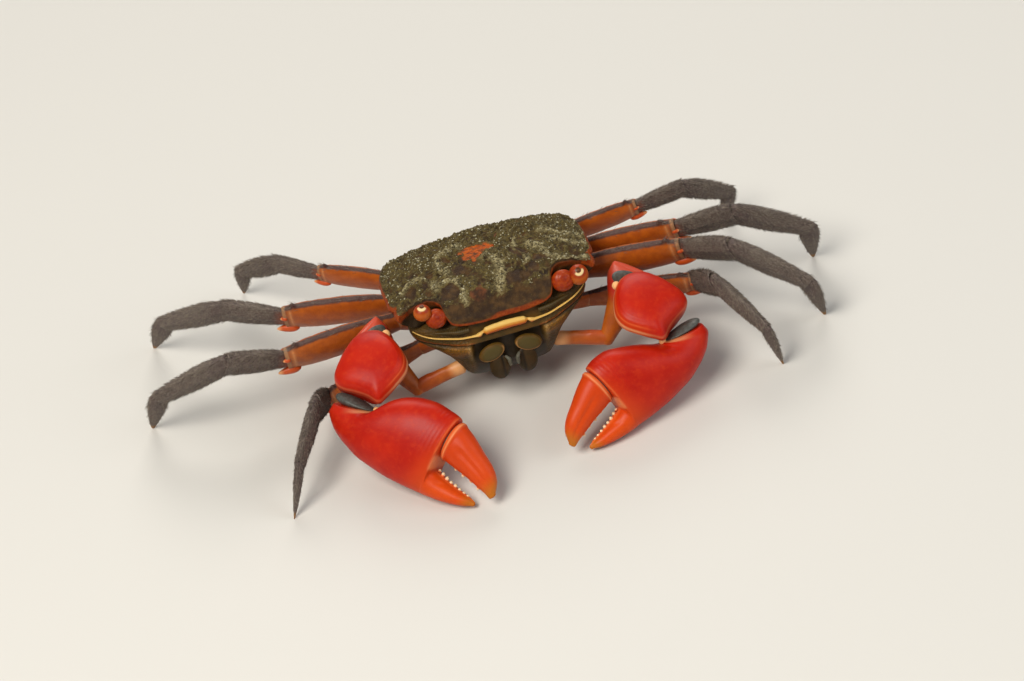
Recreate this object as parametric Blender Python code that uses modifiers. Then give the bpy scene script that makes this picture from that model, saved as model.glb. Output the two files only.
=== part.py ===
"""Fourmanoir's mangrove crab (Neosarmatium fourmanoiri), a still, life-size model.

The animal stands on the tips of its eight walking legs, front raised a little, with both claws held just
above the floor. It faces -Y, its own right side is -X and the floor is z = 0. Sizes below are in
millimetres and are scaled to metres at the end.
"""
import bpy
import bmesh
from math import cos, pi, radians, sin
from mathutils import Matrix, Vector

MM = 0.001
GAP = 0.3                       # space between neighbouring plates
SIDES = {"r": -1, "l": 1}

# Body, in its own axes: x across, y backwards from the line between the orbital teeth, z up from it
ORBITAL_BREADTH = 33.0          # between the tips of the outer orbital teeth
CARAPACE_LENGTH = 28.8
FRONT_Y = -2.8                  # the frontal margin
ORBITAL_LINE_HEIGHT = 22.0      # above the floor
BODY_PITCH = radians(8.0)       # front up
BODY_YAW = radians(2.5)         # rear towards the right side
SHELL_DEPTH = 5.6               # from the orbital line down to the shell's lower edge
FRONT_DROP = 3.7                # from the orbital line down to the frontal margin's lower edge
UNDERCUT_BACK = 4.4             # behind this the shell's walls reach their full depth

# Outline of the shell on its left half, front to rear: share of the half breadth, share of the length
SHELL_OUTLINE = (
    (0.0, 0.002), (0.194, 0.0), (0.388, 0.003), (0.539, 0.024), (0.588, 0.097), (0.703, 0.132),
    (0.836, 0.128), (0.933, 0.104), (1.0, 0.076), (1.012, 0.139), (0.994, 0.191), (1.042, 0.233),
    (1.048, 0.306), (1.055, 0.41), (1.042, 0.531), (0.994, 0.67), (0.897, 0.792), (0.752, 0.896),
    (0.57, 0.965), (0.303, 0.993), (0.0, 1.0),
)
SHELL_CENTRE = Vector((0.0, 11.0))
SHELL_RINGS = (1.0, 0.95, 0.86, 0.72, 0.55, 0.36, 0.18)
WALL_RINGS = ((1.0, 0.12), (0.97, 0.4), (0.88, 0.72), (0.76, 1.0))     # size, share of the depth
DOME_HEIGHT = 2.7
DOME_CREST = 9.0                # y of the highest line across
REAR_FALL = 7.4
FRONT_FALL = 3.2
BROW_Y = -0.7                   # before this the shell turns down to the frontal margin
BROW_HALF = 9.8
BROW_FALL = 3.0
# Regions of the shell: centre, half widths and height of each swelling
SHELL_REGIONS = (
    ((0.0, 5.5), (5.5, 4.5), 0.5), ((0.0, 17.0), (4.0, 3.6), 0.5), ((10.5, 13.0), (4.6, 6.5), 0.4),
    ((2.6, -0.4), (2.0, 1.3), 0.4), ((6.8, 0.0), (1.9, 1.2), 0.4), ((16.2, 0.4), (1.8, 2.2), 0.5),
)
SOCKET_CENTRE = (12.2, -1.2, -2.0)
SOCKET_RADII = (4.3, 3.0, 2.6)
EYES = {                        # centre and radii of the stalk, then of the bulb with the cornea
    "r": (((-10.5, -1.1, -1.55), (1.75, 1.35, 1.7)), ((-12.45, -1.3, 0.3), (1.45, 1.35, 1.4))),
    "l": (((10.9, -1.1, -1.4), (1.9, 1.4, 1.9)), ((13.6, -1.2, -1.1), (1.6, 1.35, 1.8))),
}

# Cheeks and mouth, as level sections: z, half width, front
CHEEK_ROWS = (
    (-4.0, 15.0, -1.3), (-5.6, 14.8, -1.7), (-7.2, 13.3, -2.1), (-9.0, 11.2, -2.0), (-11.0, 9.6, -1.4),
    (-13.0, 8.4, -0.6), (-15.0, 7.4, 0.8), (-16.0, 6.6, 2.2),
)
CHEEK_SQUARENESS = 3.2
MOUTH_HALF = 6.0                # the recess that holds the mouthparts
MOUTH_TOP = -7.9
MOUTH_FACE = -0.7
# Lower rim of the orbits and bar over the mouth: x, z, half height, half thickness
MOUTH_RIM = (
    (0.0, -5.45, 0.74, 0.45), (3.0, -5.65, 0.7, 0.45), (4.2, -5.95, 0.4, 0.4), (6.8, -6.0, 0.36, 0.4),
    (9.6, -5.5, 0.34, 0.4), (11.9, -5.0, 0.34, 0.4), (13.6, -4.5, 0.32, 0.36), (14.5, -4.2, 0.28, 0.3),
)
FEELER = ((6.0, -4.75, 0.42), (7.6, -4.7, 0.44), (9.2, -4.5, 0.34), (11.2, -4.3, 0.25))   # x, z, radius
BLADE = ((3.1, -1.8, -10.2), (2.3, 0.75, 1.5))      # third maxilliped: centre and radii
BLADE_TILT = radians(17.0)
STEM = ((2.3, -1.7, -13.3), (1.7, 0.65, 2.3))
STERNUM_HALF = 8.4
STERNUM_ENDS = ((0.0, 10.4, 10.0), (24.8, 8.4, 7.8))    # y, half width above and below
STERNUM_REAR_SLOPE = 2.2
STERNUM_CREASE = 0.55
STERNUM_OVERRUN = (3.0, 1.0)    # drawn this far past its upper and lower cut
STERNUM_DEPTH = 16.2
COXA_CLEARANCES = (((0.0, -9.2), (30.0, -20.0)), ((4.0, -2.0), (30.0, -20.0)))   # y and z of opposite corners
STERNUM_SLANT = ((0.0, 0.0, -13.6), (0.0, -0.56, -0.83))        # a place and the normal of its front slope
ABDOMEN_ROWS = (                # y, z, half width
    (25.75, -7.4, 5.6), (25.6, -12.4, 5.0), (24.9, -15.8, 4.4), (22.8, -17.15, 4.0), (17.4, -17.15, 3.2),
    (11.0, -17.15, 2.2), (7.6, -17.15, 1.0),
)
ABDOMEN_THICKNESS = 1.3

# Walking legs, second to fifth pair. Coxa and hip are in the body's axes, knees and tips in the floor's.
MERUS_LENGTH = {2: 17.5, 3: 19.5, 4: 19.3, 5: 15.0}
MERUS_BREADTH = {2: 6.6, 3: 7.8, 4: 7.6, 5: 6.0}
OUTER_LENGTHS = {2: (9.0, 11.0, 9.0), 3: (10.5, 13.5, 10.5), 4: (10.5, 14.0, 10.5), 5: (8.5, 11.0, 8.5)}
LEG_THICKNESS = 0.46            # of the breadth
LEG_LEAN = radians(25.0)        # the upper ridge leans forwards
COXA = {2: (8.9, 7.4, -10.6), 3: (9.1, 11.9, -10.2), 4: (8.9, 16.4, -9.8), 5: (8.9, 20.8, -9.4)}
HIP_REACH = {2: (13.2, 9.2, -11.8), 3: (14.0, 12.8, -8.0), 4: (14.0, 17.4, -7.6), 5: (12.6, 23.4, -7.4)}
KNEES = {
    "r2": (-30.8, 3.6, 5.8), "r3": (-35.6, 9.6, 11.6), "r4": (-34.0, 19.8, 12.2), "r5": (-26.4, 28.6, 12.4),
    "l2": (32.3, 3.9, 9.9), "l3": (31.9, 7.0, 14.7), "l4": (32.2, 12.6, 14.6), "l5": (27.3, 22.8, 13.4),
}
TIPS = {
    "r2": (-40.7, -16.5), "r3": (-60.0, 15.5), "r4": (-57.0, 36.5), "r5": (-40.0, 45.0),
    "l2": (42.5, -10.5), "l3": (52.0, -1.0), "l4": (54.0, 14.5), "l5": (43.0, 31.0),
}
# Sections of each leg segment: share of its length, share of the merus's breadth
SEGMENT_RIBS = {
    "base": ((-0.2, 0.62), (0.2, 0.66), (0.6, 0.6), (1.2, 0.64)),
    "merus": (
        (-0.08, 0.60), (0.06, 0.70), (0.25, 0.90), (0.5, 1.0), (0.75, 0.96), (0.92, 0.84), (1.08, 0.72),
    ),
    "carpus": ((-0.15, 0.55), (0.1, 0.64), (0.45, 0.76), (0.8, 0.80), (1.15, 0.72)),
    "propodus": ((-0.12, 0.66), (0.2, 0.74), (0.55, 0.70), (0.85, 0.56), (1.12, 0.48)),
    "dactyl": ((-0.12, 0.46), (0.2, 0.44), (0.5, 0.36), (0.8, 0.24), (1.0, 0.16), (1.08, 0.14)),
}
SEGMENT_FINISHES = {
    "base": "leg_orange", "merus": "leg_orange", "carpus": "leg_dark", "propodus": "leg_dark",
    "dactyl": "leg_dark",
}

# Claws. The chela is drawn in its own plane: x along the palm towards the tips, y towards the movable
# finger. A rib is its lower point, its upper point and half its thickness. The first ribs of the palm fan
# out from the wrist's joint.
PALM_RIBS = (
    ((-6.15, 2.06), (1.1, 4.66), 2.4),
    ((-6.2, 0.9), (1.2, 4.8), 2.9),
    ((-5.2, -0.4), (1.35, 5.1), 3.3),
    ((-3.4, -1.7), (1.6, 5.9), 3.7),
    ((-0.8, -2.7), (2.3, 7.4), 4.1),
    ((2.8, -3.5), (4.4, 9.4), 4.4),
    ((6.8, -3.6), (7.4, 10.9), 4.4),
    ((10.6, -3.3), (10.4, 11.5), 4.1),
    ((12.8, -3.0), (12.8, 11.5), 3.8),
    ((13.8, -2.8), (14.3, 11.2), 3.4),
    ((14.4, -2.7), (14.5, 2.3), 2.7),
    ((16.8, -2.3), (16.7, 1.4), 2.2),
    ((19.4, -1.5), (19.4, 1.1), 1.7),
    ((21.6, -0.6), (21.5, 1.0), 1.1),
    ((22.6, 0.0), (22.5, 0.8), 0.4),
)
FIXED_FINGER_START = 10         # the first rib of the palm that belongs to the fixed finger
FINGER_RIBS = (
    ((14.8, 4.2), (14.95, 10.9), 2.6),
    ((16.6, 4.0), (17.4, 10.0), 2.4),
    ((19.1, 3.8), (20.2, 8.6), 2.0),
    ((21.5, 3.4), (22.9, 7.2), 1.6),
    ((23.6, 3.0), (24.5, 5.6), 1.0),
    ((24.6, 2.7), (25.1, 4.0), 0.5),
)
FIXED_TEETH = ((15.9, 0.9), (17.2, 1.2), (18.5, 0.9), (19.7, 0.8), (20.8, 0.7))       # x, height
MOVING_TEETH = ((16.8, 0.8), (18.4, 0.9), (20.0, 0.8), (21.6, 0.7))
WRIST = ((-6.2, 2.2), (1.1, 4.8))           # the plane where the carpus joins
CARPUS_ROUND = 5.6              # radius of the round form that the plate's middle takes
# The wrist plate: outline of its upper face (x outwards, y forwards), then rings over and under it:
# size, rise, slide outwards and backwards
CARPUS_OUTLINE = (
    (-4.9, -3.2), (-3.6, -4.9), (-1.6, -5.8), (0.8, -5.6), (3.2, -5.0), (5.4, -4.1), (6.6, -2.8), (6.7, -1.2),
    (5.9, 1.0), (5.3, 3.2), (5.1, 5.5), (3.4, 5.8), (1.0, 5.8), (-1.6, 5.5), (-3.4, 4.2), (-4.5, 1.8),
    (-5.1, -0.8),
)
CARPUS_RINGS = (
    (0.2, 2.5, 0.0), (0.45, 2.38, 0.0), (0.7, 2.0, 0.0), (0.86, 1.45, 0.0), (0.96, 0.6, 0.0),
    (1.0, -0.4, 0.0), (0.96, -1.4, 0.3), (0.86, -2.9, 0.9), (0.72, -4.4, 1.5), (0.5, -5.8, 2.0),
    (0.25, -6.5, 2.2),
)
# Drops are how far the upper ends of the palm's first ribs lie lower. The carpus has its place and the ways
# outwards and forwards, the merus the outer and inner end of its far edge.
CLAWS = {
    "r": {"size": 1.0, "origin": (-27.07, -9.92, 8.3), "along": (0.634, -0.698, -0.333),
          "height": (0.625, 0.208, 0.753),
          "drops": (),
          "carpus": ((-21.8, -3.1, 16.2), (-0.817, -0.52, -0.251), (0.569, -0.792, -0.213)),
          "merus_end": ((-25.2, 3.0, 15.0), (-19.9, 5.8, 19.1))},
    "l": {"size": 0.94, "origin": (26.8, -10.8, 7.1), "along": (-0.857, -0.42, -0.297),
          "height": (-0.422, 0.25, 0.871),
          "drops": (0.0, 0.0, 0.3, 1.2, 2.2, 2.2, 1.4, 0.3),
          "carpus": ((22.6, -5.1, 15.4), (0.853, -0.452, -0.262), (-0.506, -0.836, -0.206)),
          "merus_end": ((26.6, 2.2, 14.5), (19.7, 3.8, 18.0))},
}
CLAW_COXA = (8.9, 3.0, -14.1)
CLAW_MERUS_START = (15.9, 0.1, 6.3)
CLAW_MERUS_HALF = 2.0           # from the middle of the merus to the plane of the elbow
CLAW_BASE_RADII = (1.3, 1.1)
CLAW_OVERRUN = 1.0              # the arm's base is drawn this far past its joints, then cut
# Ribs of the merus: shares of its length at the outer and the inner edge, shares of the half breadth
# there, half thickness
CLAW_MERUS_RIBS = (
    ((-0.06, -0.06), (0.36, 0.24), 1.1), ((0.15, 0.15), (0.46, 0.34), 1.3), ((0.5, 0.5), (0.7, 0.58), 1.7),
    ((0.84, 0.86), (1.0, 1.0), 1.6), ((0.94, 0.97), (0.96, 0.98), 1.1), ((0.98, 1.0), (0.8, 0.95), 0.5),
)
DOWN = Vector((0.0, 0.0, -1.0))

# Colours and finish: base colour, roughness
FINISHES = {
    "shell": ((0.085, 0.065, 0.035, 1.0), 0.75),
    "underside": ((0.18, 0.13, 0.05, 1.0), 0.5),
    "rim_gold": ((0.60, 0.34, 0.09, 1.0), 0.4),
    "claw_red": ((0.60, 0.035, 0.015, 1.0), 0.32),
    "finger_orange": ((0.60, 0.11, 0.02, 1.0), 0.32),
    "leg_orange": ((0.42, 0.13, 0.02, 1.0), 0.42),
    "leg_dark": ((0.05, 0.04, 0.045, 1.0), 0.7),
    "eye": ((0.40, 0.13, 0.03, 1.0), 0.25),
}


def clear_scene():
    for obj in list(bpy.data.objects):
        bpy.data.objects.remove(obj, do_unlink=True)


def make_collection(name):
    group = bpy.data.collections.new(name)
    bpy.context.scene.collection.children.link(group)
    return group


def make_material(node, finish):
    colour, roughness = FINISHES[finish]
    material = bpy.data.materials.new(node)
    material.use_nodes = True
    shader = material.node_tree.nodes["Principled BSDF"]
    shader.inputs["Base Color"].default_value = colour
    shader.inputs["Roughness"].default_value = roughness
    shader.inputs["Metallic"].default_value = 0.0
    return material


def body_axes():
    """The body's axes, in the floor's."""
    turn = Matrix.Rotation(BODY_YAW, 4, "Z") @ Matrix.Rotation(-BODY_PITCH, 4, "X")
    return Matrix.Translation((0.0, 0.0, ORBITAL_LINE_HEIGHT)) @ turn


def mirrored(point, side):
    """A place given for the left side, on the wanted side."""
    return Vector((point[0] * side, point[1], point[2]))


def interpolated(rows, place, column):
    """A column of a table at a place between its rows, which the first column orders."""
    rows = sorted(rows)
    if place <= rows[0][0]:
        return rows[0][column]
    for before, after in zip(rows, rows[1:]):
        if place <= after[0]:
            share = (place - before[0]) / (after[0] - before[0])
            return before[column] + (after[column] - before[column]) * share
    return rows[-1][column]


# Tools for closed forms

def smooth_rows(rows, steps):
    """Rows of numbers with others between them, on a curve through all of them."""
    result = []
    last = len(rows) - 1
    for i in range(last):
        before, start, end, after = rows[max(i - 1, 0)], rows[i], rows[i + 1], rows[min(i + 2, last)]
        for k in range(steps):
            t = k / steps
            row = []
            for a, b, c, d in zip(before, start, end, after):
                row.append(0.5 * (2 * b + (c - a) * t + (2 * a - 5 * b + 4 * c - d) * t ** 2
                                  + (3 * b - a - 3 * c + d) * t ** 3))
            result.append(row)
    result.append(list(rows[last]))
    return result


def signed_power(value, power):
    return abs(value) ** power if value >= 0 else -abs(value) ** power


def section(low, high, half, sides, fullness):
    """Points round one rib: low to high lies in the plane, half is across it."""
    middle = (low + high) / 2
    reach = (high - low) / 2
    ring = []
    for k in range(sides):
        angle = 2 * pi * k / sides
        up = signed_power(sin(angle), 2 / fullness)
        out = signed_power(cos(angle), 2 / fullness)
        ring.append(Vector((middle.x + reach.x * up, middle.y + reach.y * up, half * out)))
    return ring


def skin_rings(rings):
    """One closed surface over rings of the same count, with flat ends."""
    mesh = bmesh.new()
    rows = [[mesh.verts.new(point) for point in ring] for ring in rings]
    count = len(rings[0])
    for row, following in zip(rows, rows[1:]):
        for k in range(count):
            j = (k + 1) % count
            mesh.faces.new((row[k], row[j], following[j], following[k]))
    mesh.faces.new(rows[0][::-1])
    mesh.faces.new(rows[-1])
    bmesh.ops.recalc_face_normals(mesh, faces=mesh.faces)
    return mesh


def ribbed(ribs, sides, steps=1, fullness=2.2):
    """A plate or limb segment over ribs that all lie in one plane."""
    rows = [(low[0], low[1], high[0], high[1], half) for low, high, half in ribs]
    rings = []
    for x0, y0, x1, y1, half in smooth_rows(rows, steps):
        rings.append(section(Vector((x0, y0)), Vector((x1, y1)), half, sides, fullness))
    return skin_rings(rings)


def cage(corners, levels, crease):
    """A rounded block from its eight corners: four of one face, then the four opposite."""
    mesh = bmesh.new()
    verts = [mesh.verts.new(corner) for corner in corners]
    for face in ((0, 1, 2, 3), (7, 6, 5, 4), (0, 4, 5, 1), (1, 5, 6, 2), (2, 6, 7, 3), (3, 7, 4, 0)):
        mesh.faces.new([verts[i] for i in face])
    bmesh.ops.recalc_face_normals(mesh, faces=mesh.faces)
    sharpness = mesh.edges.layers.float.new("crease_edge")
    for edge in mesh.edges:
        edge[sharpness] = crease
    obj = as_object(mesh)
    modifier = obj.modifiers.new("soft", "SUBSURF")
    modifier.levels = levels
    modifier.render_levels = levels
    return evaluated_form(obj, [obj])


def oval(centre, radii, segments=12, rings=8, tilt=0.0):
    """An ellipsoid, tilted in the plane that faces forwards."""
    mesh = bmesh.new()
    bmesh.ops.create_uvsphere(mesh, u_segments=segments, v_segments=rings, radius=1.0)
    bmesh.ops.scale(mesh, vec=radii, verts=mesh.verts)
    bmesh.ops.rotate(mesh, matrix=Matrix.Rotation(tilt, 3, "Y"), verts=mesh.verts)
    bmesh.ops.translate(mesh, vec=centre, verts=mesh.verts)
    return mesh


def box(low, high):
    mesh = bmesh.new()
    bmesh.ops.create_cube(mesh, size=1.0)
    bmesh.ops.scale(mesh, vec=[b - a for a, b in zip(low, high)], verts=mesh.verts)
    bmesh.ops.translate(mesh, vec=[(a + b) / 2 for a, b in zip(low, high)], verts=mesh.verts)
    return mesh


def as_object(mesh):
    """A form as a passing object in the scene."""
    data = bpy.data.meshes.new("form")
    mesh.to_mesh(data)
    mesh.free()
    obj = bpy.data.objects.new("form", data)
    bpy.context.scene.collection.objects.link(obj)
    return obj


def evaluated_form(obj, passing):
    """The form with its modifiers applied, after which the passing objects are removed."""
    evaluated = obj.evaluated_get(bpy.context.evaluated_depsgraph_get())
    result = bmesh.new()
    result.from_mesh(evaluated.to_mesh())
    evaluated.to_mesh_clear()
    for item in passing:
        data = item.data
        bpy.data.objects.remove(item, do_unlink=True)
        bpy.data.meshes.remove(data)
    return result


def combined(mesh, others, operation):
    """One closed body from a form and others that run into it, or that are taken out of it."""
    body = as_object(mesh)
    pieces = bpy.data.collections.new("pieces")
    bpy.context.scene.collection.children.link(pieces)
    objects = [as_object(other) for other in others]
    for obj in objects:
        bpy.context.scene.collection.objects.unlink(obj)
        pieces.objects.link(obj)
    modifier = body.modifiers.new("combine", "BOOLEAN")
    modifier.operation = operation
    modifier.operand_type = "COLLECTION"
    modifier.collection = pieces
    modifier.solver = "EXACT"
    result = evaluated_form(body, [body] + objects)
    bpy.data.collections.remove(pieces)
    bmesh.ops.remove_doubles(result, verts=result.verts, dist=0.01)
    return largest_piece(result)


def cut_away(mesh, cutters):
    """A form with the cutters taken out of it, one after the other because they overlap."""
    for cutter in cutters:
        mesh = combined(mesh, [cutter], "DIFFERENCE")
    return mesh


def largest_piece(mesh):
    """Keeps only the largest closed surface."""
    unseen = set(mesh.verts)
    groups = []
    while unseen:
        seed = unseen.pop()
        group, queue = [seed], [seed]
        while queue:
            for edge in queue.pop().link_edges:
                for vert in edge.verts:
                    if vert in unseen:
                        unseen.discard(vert)
                        group.append(vert)
                        queue.append(vert)
        groups.append(group)
    groups.sort(key=len)
    for group in groups[:-1]:
        bmesh.ops.delete(mesh, geom=group, context="VERTS")
    return mesh


def cut_flat(mesh, point, normal):
    """Takes off what lies past a plane and closes the cut with one flat face."""
    geometry = mesh.verts[:] + mesh.edges[:] + mesh.faces[:]
    bmesh.ops.bisect_plane(mesh, geom=geometry, dist=1e-4, plane_co=point, plane_no=normal, clear_outer=True)
    rim = [edge for edge in mesh.edges if edge.is_boundary]
    if rim:
        bmesh.ops.holes_fill(mesh, edges=rim, sides=0)
    bmesh.ops.remove_doubles(mesh, verts=mesh.verts, dist=0.01)
    bmesh.ops.dissolve_degenerate(mesh, dist=0.005, edges=mesh.edges)
    bmesh.ops.recalc_face_normals(mesh, faces=mesh.faces)


def cut_joint(mesh, matrix, joint, normal, keep_before):
    """Cuts a segment at a joint's plane, half the gap short of it."""
    away = normal if keep_before else -normal
    inverse = matrix.inverted()
    cut_flat(mesh, inverse @ (joint - away * GAP / 2), inverse.to_3x3() @ away)


def cut_floor(mesh, matrix):
    """Gives a form that reaches the floor a small flat to stand on."""
    inverse = matrix.inverted()
    cut_flat(mesh, inverse @ Vector((0.0, 0.0, 0.0)), inverse.to_3x3() @ DOWN)


def frame_matrix(origin, along, height):
    """Axes with x along, y near height and z out of their plane."""
    x = Vector(along).normalized()
    z = x.cross(Vector(height)).normalized()
    y = z.cross(x)
    matrix = Matrix((x, y, z)).transposed().to_4x4()
    matrix.translation = Vector(origin)
    return matrix


def as_node(name, mesh, finish, group, parent, place=None):
    """Finishes a form in millimetres as a named part in metres."""
    bmesh.ops.triangulate(mesh, faces=[face for face in mesh.faces if len(face.verts) > 4])
    bmesh.ops.scale(mesh, vec=(MM, MM, MM), verts=mesh.verts)
    data = bpy.data.meshes.new(name)
    mesh.to_mesh(data)
    mesh.free()
    data.materials.append(make_material(name, finish))
    data.shade_smooth()
    data.set_sharp_from_angle(angle=radians(40.0))
    obj = bpy.data.objects.new(name, data)
    group.objects.link(obj)
    obj.parent = parent
    if place is not None:
        placed = place.copy()
        placed.translation = place.translation * MM
        obj.matrix_local = placed
    return obj


# Body

def swelling(x, y, centre, radii):
    distance = ((x - centre[0]) / radii[0]) ** 2 + ((y - centre[1]) / radii[1]) ** 2
    return max(1 - distance / 2, 0.0) ** 2


def shell_height(x, y):
    """The upper surface of the carapace above the orbital line, with its regions."""
    half = ORBITAL_BREADTH / 2 * max(point[0] for point in SHELL_OUTLINE)
    rear = FRONT_Y + CARAPACE_LENGTH
    across = min(abs(x) / half, 1.0)
    behind = max((y - DOME_CREST) / (rear - DOME_CREST), 0.0)
    ahead = max((DOME_CREST - y) / (DOME_CREST - FRONT_Y), 0.0)
    height = DOME_HEIGHT * (1 - across ** 2.6) - REAR_FALL * behind ** 2.6
    height -= FRONT_FALL * ahead ** 2.2 * (1 - 0.75 * across ** 2)
    for centre, radii, rise in SHELL_REGIONS:
        height += rise * swelling(abs(x), y, centre, radii)
    inside = min(max(BROW_HALF + 0.6 - abs(x), 0.0), 1.0)
    steep = max((BROW_Y - y) / (BROW_Y - FRONT_Y), 0.0)
    return height - BROW_FALL * steep ** 1.3 * inside


def shell_ring(outline, size):
    return [SHELL_CENTRE + (point - SHELL_CENTRE) * size for point in outline]


def make_carapace(group, parent):
    half = ORBITAL_BREADTH / 2
    left = [Vector((x * half, FRONT_Y + y * CARAPACE_LENGTH)) for x, y in SHELL_OUTLINE]
    right = [Vector((-point.x, point.y)) for point in left[-2:0:-1]]
    outline = left + right
    rings = []
    for size in reversed(SHELL_RINGS):
        rings.append([Vector((x, y, shell_height(x, y))) for x, y in shell_ring(outline, size)])
    for size, share in WALL_RINGS:
        ring = []
        for point, edge in zip(shell_ring(outline, size), outline):
            top = shell_height(edge.x, edge.y)
            ring.append(Vector((point.x, point.y, top - (SHELL_DEPTH + top) * share)))
        rings.append(ring)
    undercut = box((-half - 4.0, FRONT_Y - 4.0, -12.0), (half + 4.0, UNDERCUT_BACK, -FRONT_DROP))
    sockets = [oval(mirrored(SOCKET_CENTRE, side), SOCKET_RADII, 14) for side in SIDES.values()]
    as_node("carapace", cut_away(skin_rings(rings), [undercut] + sockets), "shell", group, parent)


def face_y(x, z):
    """The front of the cheeks at a place across and up."""
    half = interpolated(CHEEK_ROWS, z, 1)
    front = interpolated(CHEEK_ROWS, z, 2)
    back = UNDERCUT_BACK - GAP
    share = min(abs(x) / half, 1.0)
    return back - (back - front) * (1 - share ** CHEEK_SQUARENESS) ** (1 / CHEEK_SQUARENESS)


def make_cheeks(points=17):
    """The cheeks and the frame round the mouth: rounded in front, flat behind."""
    rings = []
    for z, half, _ in CHEEK_ROWS:
        ring = []
        for k in range(points):
            x = -half * signed_power(cos(pi * k / (points - 1)), 2 / CHEEK_SQUARENESS)
            ring.append(Vector((x, face_y(x, z), z)))
        rings.append(ring)
    return skin_rings(rings)


def make_thorax(group, parent):
    """The sternum, the cheeks in front of it and the mouth frame, as one body."""
    top = -SHELL_DEPTH - GAP
    bottom = -STERNUM_DEPTH
    upper, lower = top + STERNUM_OVERRUN[0], bottom - STERNUM_OVERRUN[1]
    (front, front_above, front_below), (rear, rear_above, rear_below) = STERNUM_ENDS
    low_rear = rear - STERNUM_REAR_SLOPE
    sternum = cage(((-front_above, front, upper), (front_above, front, upper),
                    (rear_above, rear, upper), (-rear_above, rear, upper),
                    (-front_below, front, lower), (front_below, front, lower),
                    (rear_below, low_rear, lower), (-rear_below, low_rear, lower)), 3, STERNUM_CREASE)
    cut_flat(sternum, (0.0, 0.0, top), (0.0, 0.0, 1.0))
    cut_flat(sternum, (0.0, 0.0, bottom), DOWN)
    body = combined(sternum, [make_cheeks()], "UNION")
    cut_flat(body, *STERNUM_SLANT)
    cutters = [box((-MOUTH_HALF, -9.0, bottom - 4.0), (MOUTH_HALF, MOUTH_FACE, MOUTH_TOP))]
    for side in SIDES.values():
        across = sorted((side * STERNUM_HALF, side * 20.0))
        for (y0, z0), (y1, z1) in COXA_CLEARANCES:
            cutters.append(box((across[0], y0, z1), (across[1], y1, z0)))
    as_node("thorax", cut_away(body, cutters), "underside", group, parent)


def make_mouth_rim(group, parent):
    """The bar over the mouth, which runs on as the lower rim of each orbit."""
    right = [(-x, z, tall, thick) for x, z, tall, thick in MOUTH_RIM[:0:-1]]
    rings = []
    for x, z, tall, thick in right + list(MOUTH_RIM):
        y = face_y(x, z) - GAP - thick
        rings.append([Vector((x, y + thick * cos(pi * k / 4), z + tall * sin(pi * k / 4))) for k in range(8)])
    as_node("mouth_rim", skin_rings(rings), "rim_gold", group, parent)


def make_abdomen(group, parent):
    """The tail, folded forwards under the sternum."""
    rings = []
    last = len(ABDOMEN_ROWS) - 1
    for i, (y, z, half) in enumerate(ABDOMEN_ROWS):
        before, after = ABDOMEN_ROWS[max(i - 1, 0)], ABDOMEN_ROWS[min(i + 1, last)]
        run = Vector((0.0, after[0] - before[0], after[1] - before[1])).normalized()
        middle = Vector((0.0, y, z))
        across = Vector((half, 0.0, 0.0))
        thick = Vector((0.0, -run.z, run.y)) * ABDOMEN_THICKNESS / 2
        flank = across / 2
        edge = thick * 0.8
        rings.append([middle - across, middle - flank - edge, middle - thick, middle + flank - edge,
                      middle + across, middle + flank + edge, middle + thick, middle - flank + edge])
    as_node("abdomen", skin_rings(rings), "underside", group, parent)


def make_mouthparts(group, parent):
    for name, side in SIDES.items():
        blade = oval(mirrored(BLADE[0], side), BLADE[1], tilt=side * BLADE_TILT)
        stem = oval(mirrored(STEM[0], side), STEM[1])
        as_node("maxilliped_" + name, combined(blade, [stem], "UNION"), "underside", group, parent)

        rings = []
        for x, z, radius in FEELER:
            y = face_y(x, z) - GAP - radius
            rings.append([Vector((side * x, y + radius * cos(pi * k / 3), z + radius * sin(pi * k / 3)))
                          for k in range(6)])
        as_node("antenna_" + name, skin_rings(rings), "finger_orange", group, parent)


def make_eyes(group, parent):
    for name, (stalk, bulb) in EYES.items():
        as_node("eye_" + name, combined(oval(*stalk), [oval(*bulb)], "UNION"), "eye", group, parent)


# Walking legs

def leg_joints(knee, tip, lengths, lean):
    """The two joints between knee and tip, on an even bend whose middle lies up and out."""
    chord = tip - knee
    low, high = 0.0, radians(100.0)
    for _ in range(40):
        bend = (low + high) / 2
        x = lengths[0] + lengths[1] * cos(bend) + lengths[2] * cos(2 * bend)
        y = lengths[1] * sin(bend) + lengths[2] * sin(2 * bend)
        if Vector((x, y)).length > chord.length:
            low = bend
        else:
            high = bend
    along = chord.normalized()
    arch = (lean - along * lean.dot(along)).normalized()
    first = Vector((x, y)).angle(Vector((1.0, 0.0)))
    middle = knee + (along * cos(first) + arch * sin(first)) * lengths[0]
    ankle = middle + (along * cos(first - bend) + arch * sin(first - bend)) * lengths[1]
    return middle, ankle


def leg_segment(kind, start, end, breadth, lean):
    """A limb segment's form and the matrix that puts it between its two joints."""
    length = (end - start).length
    ribs = []
    for share, width in SEGMENT_RIBS[kind]:
        half = width * breadth / 2
        ribs.append(((share * length, -half), (share * length, half), half * LEG_THICKNESS))
    steps = 2 if kind == "merus" else 1
    return ribbed(ribs, 10, steps, 1.9), frame_matrix(start, end - start, lean)


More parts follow.
